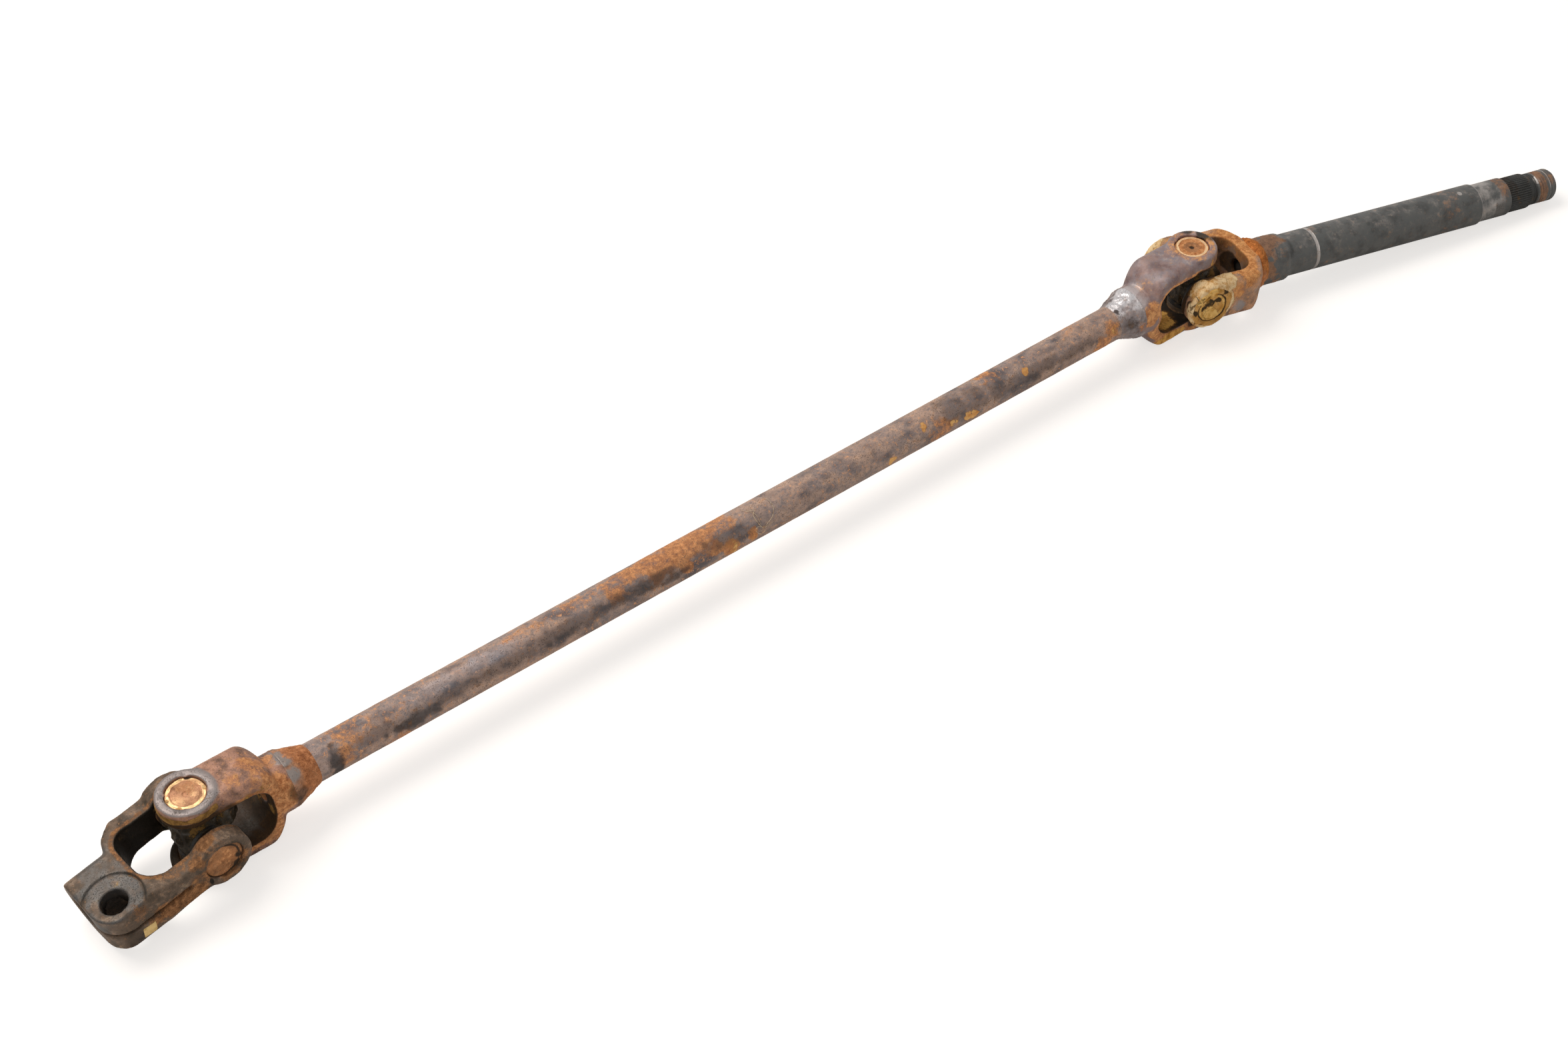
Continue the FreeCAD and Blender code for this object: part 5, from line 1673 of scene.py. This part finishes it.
@dataclass
class ShaftSide(Assembly):
    """The shaft yoke, the turned shaft, the weld between them and the yoke's cups."""

    base: float = 33.0

    def build(self) -> None:
        """Builds everything that turns with the shaft."""
        limb = self.frames.shaft
        yoke = Forging(
            "shaft_yoke", limb, (
                rust(17, -18, 8, 9, 0.9), rust(22, -16, 10, 7, 1.1), rust(31, -9, 8, 10, 0.85),
                rust(31, 4, 9, 10, 0.8), rust(14, 18, 8, 14, 0.5), rust(10, -22, 4, 7, 0.6),
                rust(22, -18, -8, 9, 0.35), rust(24, 0, -6, 12, 0.4), bare(19, -19, 0, 6, 0.75),
                bare(12, -22, -5, 5, 0.7), bare(27, -14, -2, 5, 0.6), mud(11, -21, 5, 2.6, 0.6),
                mud(-8, -18, 9, 8, 1.15), mud(0, -20, 11, 8, 1.1), mud(7, -19, 11, 6, 0.95),
                mud(-8, -21, -3, 6.5, 0.95), mud(-3, -22.5, -8, 6, 0.6), mud(4, -23, 8, 5, 0.75),
                mud(-9, 20, 8, 12, 1), mud(-13, 17, 0, 8, 0.8), mud(-1, 22, 11, 6, 0.7)),
            pin_axis=1, own_patches=(
                mud(0, -20.8, 0, 3.4, 0.95, ring=9.4, axis=1, ragged=0.4),
                soot(0, -14.2, 0, 2.4, 0.9, ring=11.4, axis=1, ragged=0.3),
                soot(-11, -19, 3, 2.6, 0.9), soot(-9, -21, -5, 2, 0.8),
                soot(5, -21.2, 7.4, 2.6, 0.8), soot(24, 4, 0, 8.5, 1.1, ragged=0.1)),
            stakes=(40, 130, 220, 310), gap=(12.8, 26.6, 8.0), waves=0.12, grit=0.05,
            mud_depth=0.7, grime=0.5, rim_rust=0.8, seed=84)
        self.fit_forging(yoke, "shaft_yoke", "upper_shaft", "shaft_forging")
        profile = ((-1.0, 11.0), (0.2, 12.0), (1.4, 12.5), (2.6, 12.1), (4.0, 11.4), (5.2, 10.9))
        bead = WeldBead(
            "shaft_weld", limb, self.base, profile, (
                rust(33, -8, 8, 16, 0.6), soot(32, -14, -5, 5, 0.3)),
            lumps=0.7, ripples=0.25, rows=30, seed=52)
        self.fit(bead.build(), "shaft_weld", "upper_shaft", "weld_metal", "shaft_weld_bead")
        shaft = TurnedShaft(limb, self.base)
        self.fit(shaft.build(), "black_shaft", "upper_shaft", "black_shaft", "upper_shaft")
        self.fit_cups("upper_shaft", 1, 13, (
            ("upper_near_cup", limb, -1, "dusty_cup", 0.32, (
                soot(-1, -19.5, 3.6, 3.4, 1.3), soot(-4.6, -19, 0.6, 2.4, 1.1),
                soot(3, -20, 5.2, 1.8, 1), mud(0, -20, -3, 5, 0.9), mud(-5, -19, -4, 3, 0.9),
                mud(0, -20, 0, 0.9, 1, (1, 2, 1), ring=6.6, axis=1, ragged=0.3))),
            ("upper_far_cup", limb, 1, "dusty_cup", 0.32, (mud(4, 20, 0, 9, 0.6),))))
        cake = MudCake("near_ear_mud", limb, -1, (
            mud(-1, -21, -3.4, 5, 0.9), mud(-6, -21, 6.5, 5, 0.75), mud(-1, -21, 9.5, 4.5, 0.85),
            mud(5.6, -21, 0, 3, 0.4), mud(0, -21, 0, 0.8, 0.9, (1, 3, 1), ring=6.3, axis=1),
            soot(-1.5, -21, 3.2, 3.4, 1.15, ragged=0.9), soot(2.6, -21, 3.8, 2.8, 1.1, ragged=0.9),
            soot(-4.2, -21, 0.4, 2.2, 0.9, ragged=0.9), soot(6, -21, 7.4, 2.4, 0.7, ragged=0.9),
            soot(-10, -21, -1, 2.6, 0.8, ragged=0.9), soot(-5, -21, -9.2, 2.2, 0.6),
            soot(9, -21, -3.6, 2, 0.5), soot(3, -21, -9.5, 2.4, 0.4),
            soot(0, -21, 0, 0.7, 0.7, (1, 3, 1), ring=7.2, axis=1, ragged=0.7)))
        self.fit(cake.build(), "mud_cake", "upper_shaft", "shaft_forging")


@dataclass
class Crosses(Assembly):
    """Both crosses with their seals and needles."""

    def build(self) -> None:
        """Builds the crosses and dresses the seals and needles."""
        for joint, limb, reach, seed in (
                ("lower", self.frames.lower_cross, (13.4, 7.6, 8.2), 5),
                ("upper", self.frames.upper_cross, (12.8, 7.2, 7.8), 6)):
            node = joint + "_cross"
            cross = Forging(
                node, limb, (mud(0, -8, 8, 6, 0.45), soot(0, 0, 8, 5, 0.3)), 2,
                bore_radius=-5.0, voxel=0.5, rounding=9, waves=0.06, grit=0.04, inset=0.09,
                grime=0.0, rim_rust=0.0, seed=seed)
            self.fit_forging(cross, "cross", node, "cross_steel")
            # A dark lump round the cross: grease and dirt, and partly painted shade between the
            # yokes.
            caked = DirtAndShadeLump(joint + "_caked_dirt", limb, 4.2, reach, seed)
            self.fit(caked.build(), "cross", node, "cross_steel")
        for name, solid in self.solids.items():
            if name.endswith("_seal"):
                dress(solid, self.materials["seal_rubber"])
            elif name.endswith("_needles"):
                dress(solid, self.materials["needle"])


def stand(name: str, data: bpy.types.ID, place: Vector, gaze: Vector) -> bpy.types.Object:
    """Stands a camera or lamp at a place, looking along a line.

    Args:
        name: The object's name.
        data: The camera or lamp.
        place: Where it stands, in row-frame metres.
        gaze: The line that it looks along.

    Returns:
        The linked object.
    """
    made = bpy.data.objects.new(name, data)
    bpy.context.scene.collection.objects.link(made)
    made.location = place
    made.rotation_mode = "QUATERNION"
    made.rotation_quaternion = gaze.to_track_quat("-Z", "Y")
    return made


@dataclass
class Studio:
    """Camera, lamps, white surroundings and the pale floor."""

    lower: np.ndarray
    sensor: float = 36.0
    focal_pixels: float = 3675.6
    image_width: float = 2352.0
    from_lower: Triple = (-0.17725, -0.57557, 0.71612)
    pitch: float = 44.79
    forward: tuple[float, float] = (0.6192, 0.7852)
    sky_strength: float = 0.24
    floor_glow: float = 0.68
    floor_reach: float = 4.0
    floor_level: float = -0.00004

    def camera(self) -> None:
        """Stands the camera where the picture was taken from."""
        data = bpy.data.cameras.new("camera")
        data.sensor_width = self.sensor
        data.lens = self.focal_pixels / self.image_width * self.sensor
        data.clip_start = 0.02
        tilt = math.radians(self.pitch)
        gaze = Vector((self.forward[0] * math.cos(tilt), self.forward[1] * math.cos(tilt),
                       -math.sin(tilt))).normalized()
        bpy.context.scene.camera = stand(
            "camera", data, Vector(self.lower) + Vector(self.from_lower), gaze)

    def lamps(self) -> None:
        """A high softbox from behind on the left and a weak one from the front."""
        for name, place, size, power, colour in (
                ("key", (-0.45, 0.75, 1.45), 1.1, 19.0, (255, 250, 244)),
                ("front", (-0.9, -1.2, 1.0), 1.0, 3.5, (255, 252, 248))):
            data = bpy.data.lights.new(name, "AREA")
            data.shape = "SQUARE"
            data.size = size
            data.energy = power
            data.color = tint(colour)[:3]
            stand(name, data, Vector(place), -Vector(place))

    def surroundings(self) -> None:
        """White to the eye and in reflections, and a dimmer, even sky that lights the rest."""
        world = bpy.data.worlds.new("surroundings")
        bpy.context.scene.world = world
        graph = Graph(world)
        path = graph.node("ShaderNodeLightPath")
        camera, transmission, glossy = (
            Value(graph, path.outputs[f"Is {ray} Ray"])
            for ray in ("Camera", "Transmission", "Glossy"))
        sky, white = (
            graph.node("ShaderNodeBackground", {}, {"Color": colour, "Strength": strength})
            for colour, strength in (((0.95, 0.97, 1.0, 1.0), self.sky_strength),
                                     ((1, 1, 1, 1), 1.0)))
        graph.finish(graph.node("ShaderNodeMixShader", {}, {
            0: camera.highest(transmission).highest(glossy), 1: sky, 2: white}), "World")

    def floor(self) -> None:
        """A wide pale floor, white where nothing shades it."""
        span = np.linspace(-self.floor_reach, self.floor_reach, 9)
        x, y = np.meshgrid(span, span, indexing="ij")
        points = np.stack([x.ravel(), y.ravel(), np.full(x.size, self.floor_level)], axis=1)
        faces = grid_faces(len(span), len(span), closed=False)[:, ::-1]
        made = mesh_object("floor", points, faces)
        graph = Graph(bpy.data.materials.new("floor_finish"))
        pale, dull = (graph.node("ShaderNodeBsdfDiffuse", {}, {"Color": tint(colour)})
                      for colour in ((250, 247, 243), (206, 203, 200)))
        glow = graph.node("ShaderNodeEmission", {}, {"Color": (1.0, 0.975, 0.950, 1.0),
                                                     "Strength": self.floor_glow})
        both = graph.node("ShaderNodeAddShader", {}, {0: dull, 1: glow})
        path = graph.node("ShaderNodeLightPath")
        dress(made, graph.finish(graph.node("ShaderNodeMixShader", {}, {
            0: path.outputs["Is Camera Ray"], 1: pale, 2: both})))

    def build(self) -> None:
        """Sets the whole stage."""
        self.camera()
        self.lamps()
        self.surroundings()
        self.floor()
        bpy.context.scene.view_settings.view_transform = "Standard"


def corners(box: tuple[Vector, Vector]) -> list[list[float]]:
    """Both corners of a box as plain lists."""
    return [[float(part) for part in corner] for corner in box]


def main() -> None:
    logging.basicConfig(level=logging.INFO, format="%(name)s %(message)s", stream=sys.stdout)
    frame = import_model()
    frames = Frames.read(frame["record"])
    materials = {finish.name: finish.make() for finish in FINISHES}
    for assembly in (RodWeldment, ClampYoke, ShaftSide, Crosses):
        assembly(frames, materials, frame["nodes"]).build()
    Studio(frames.joints[0]).build()


if __name__ == "__main__":
    main()
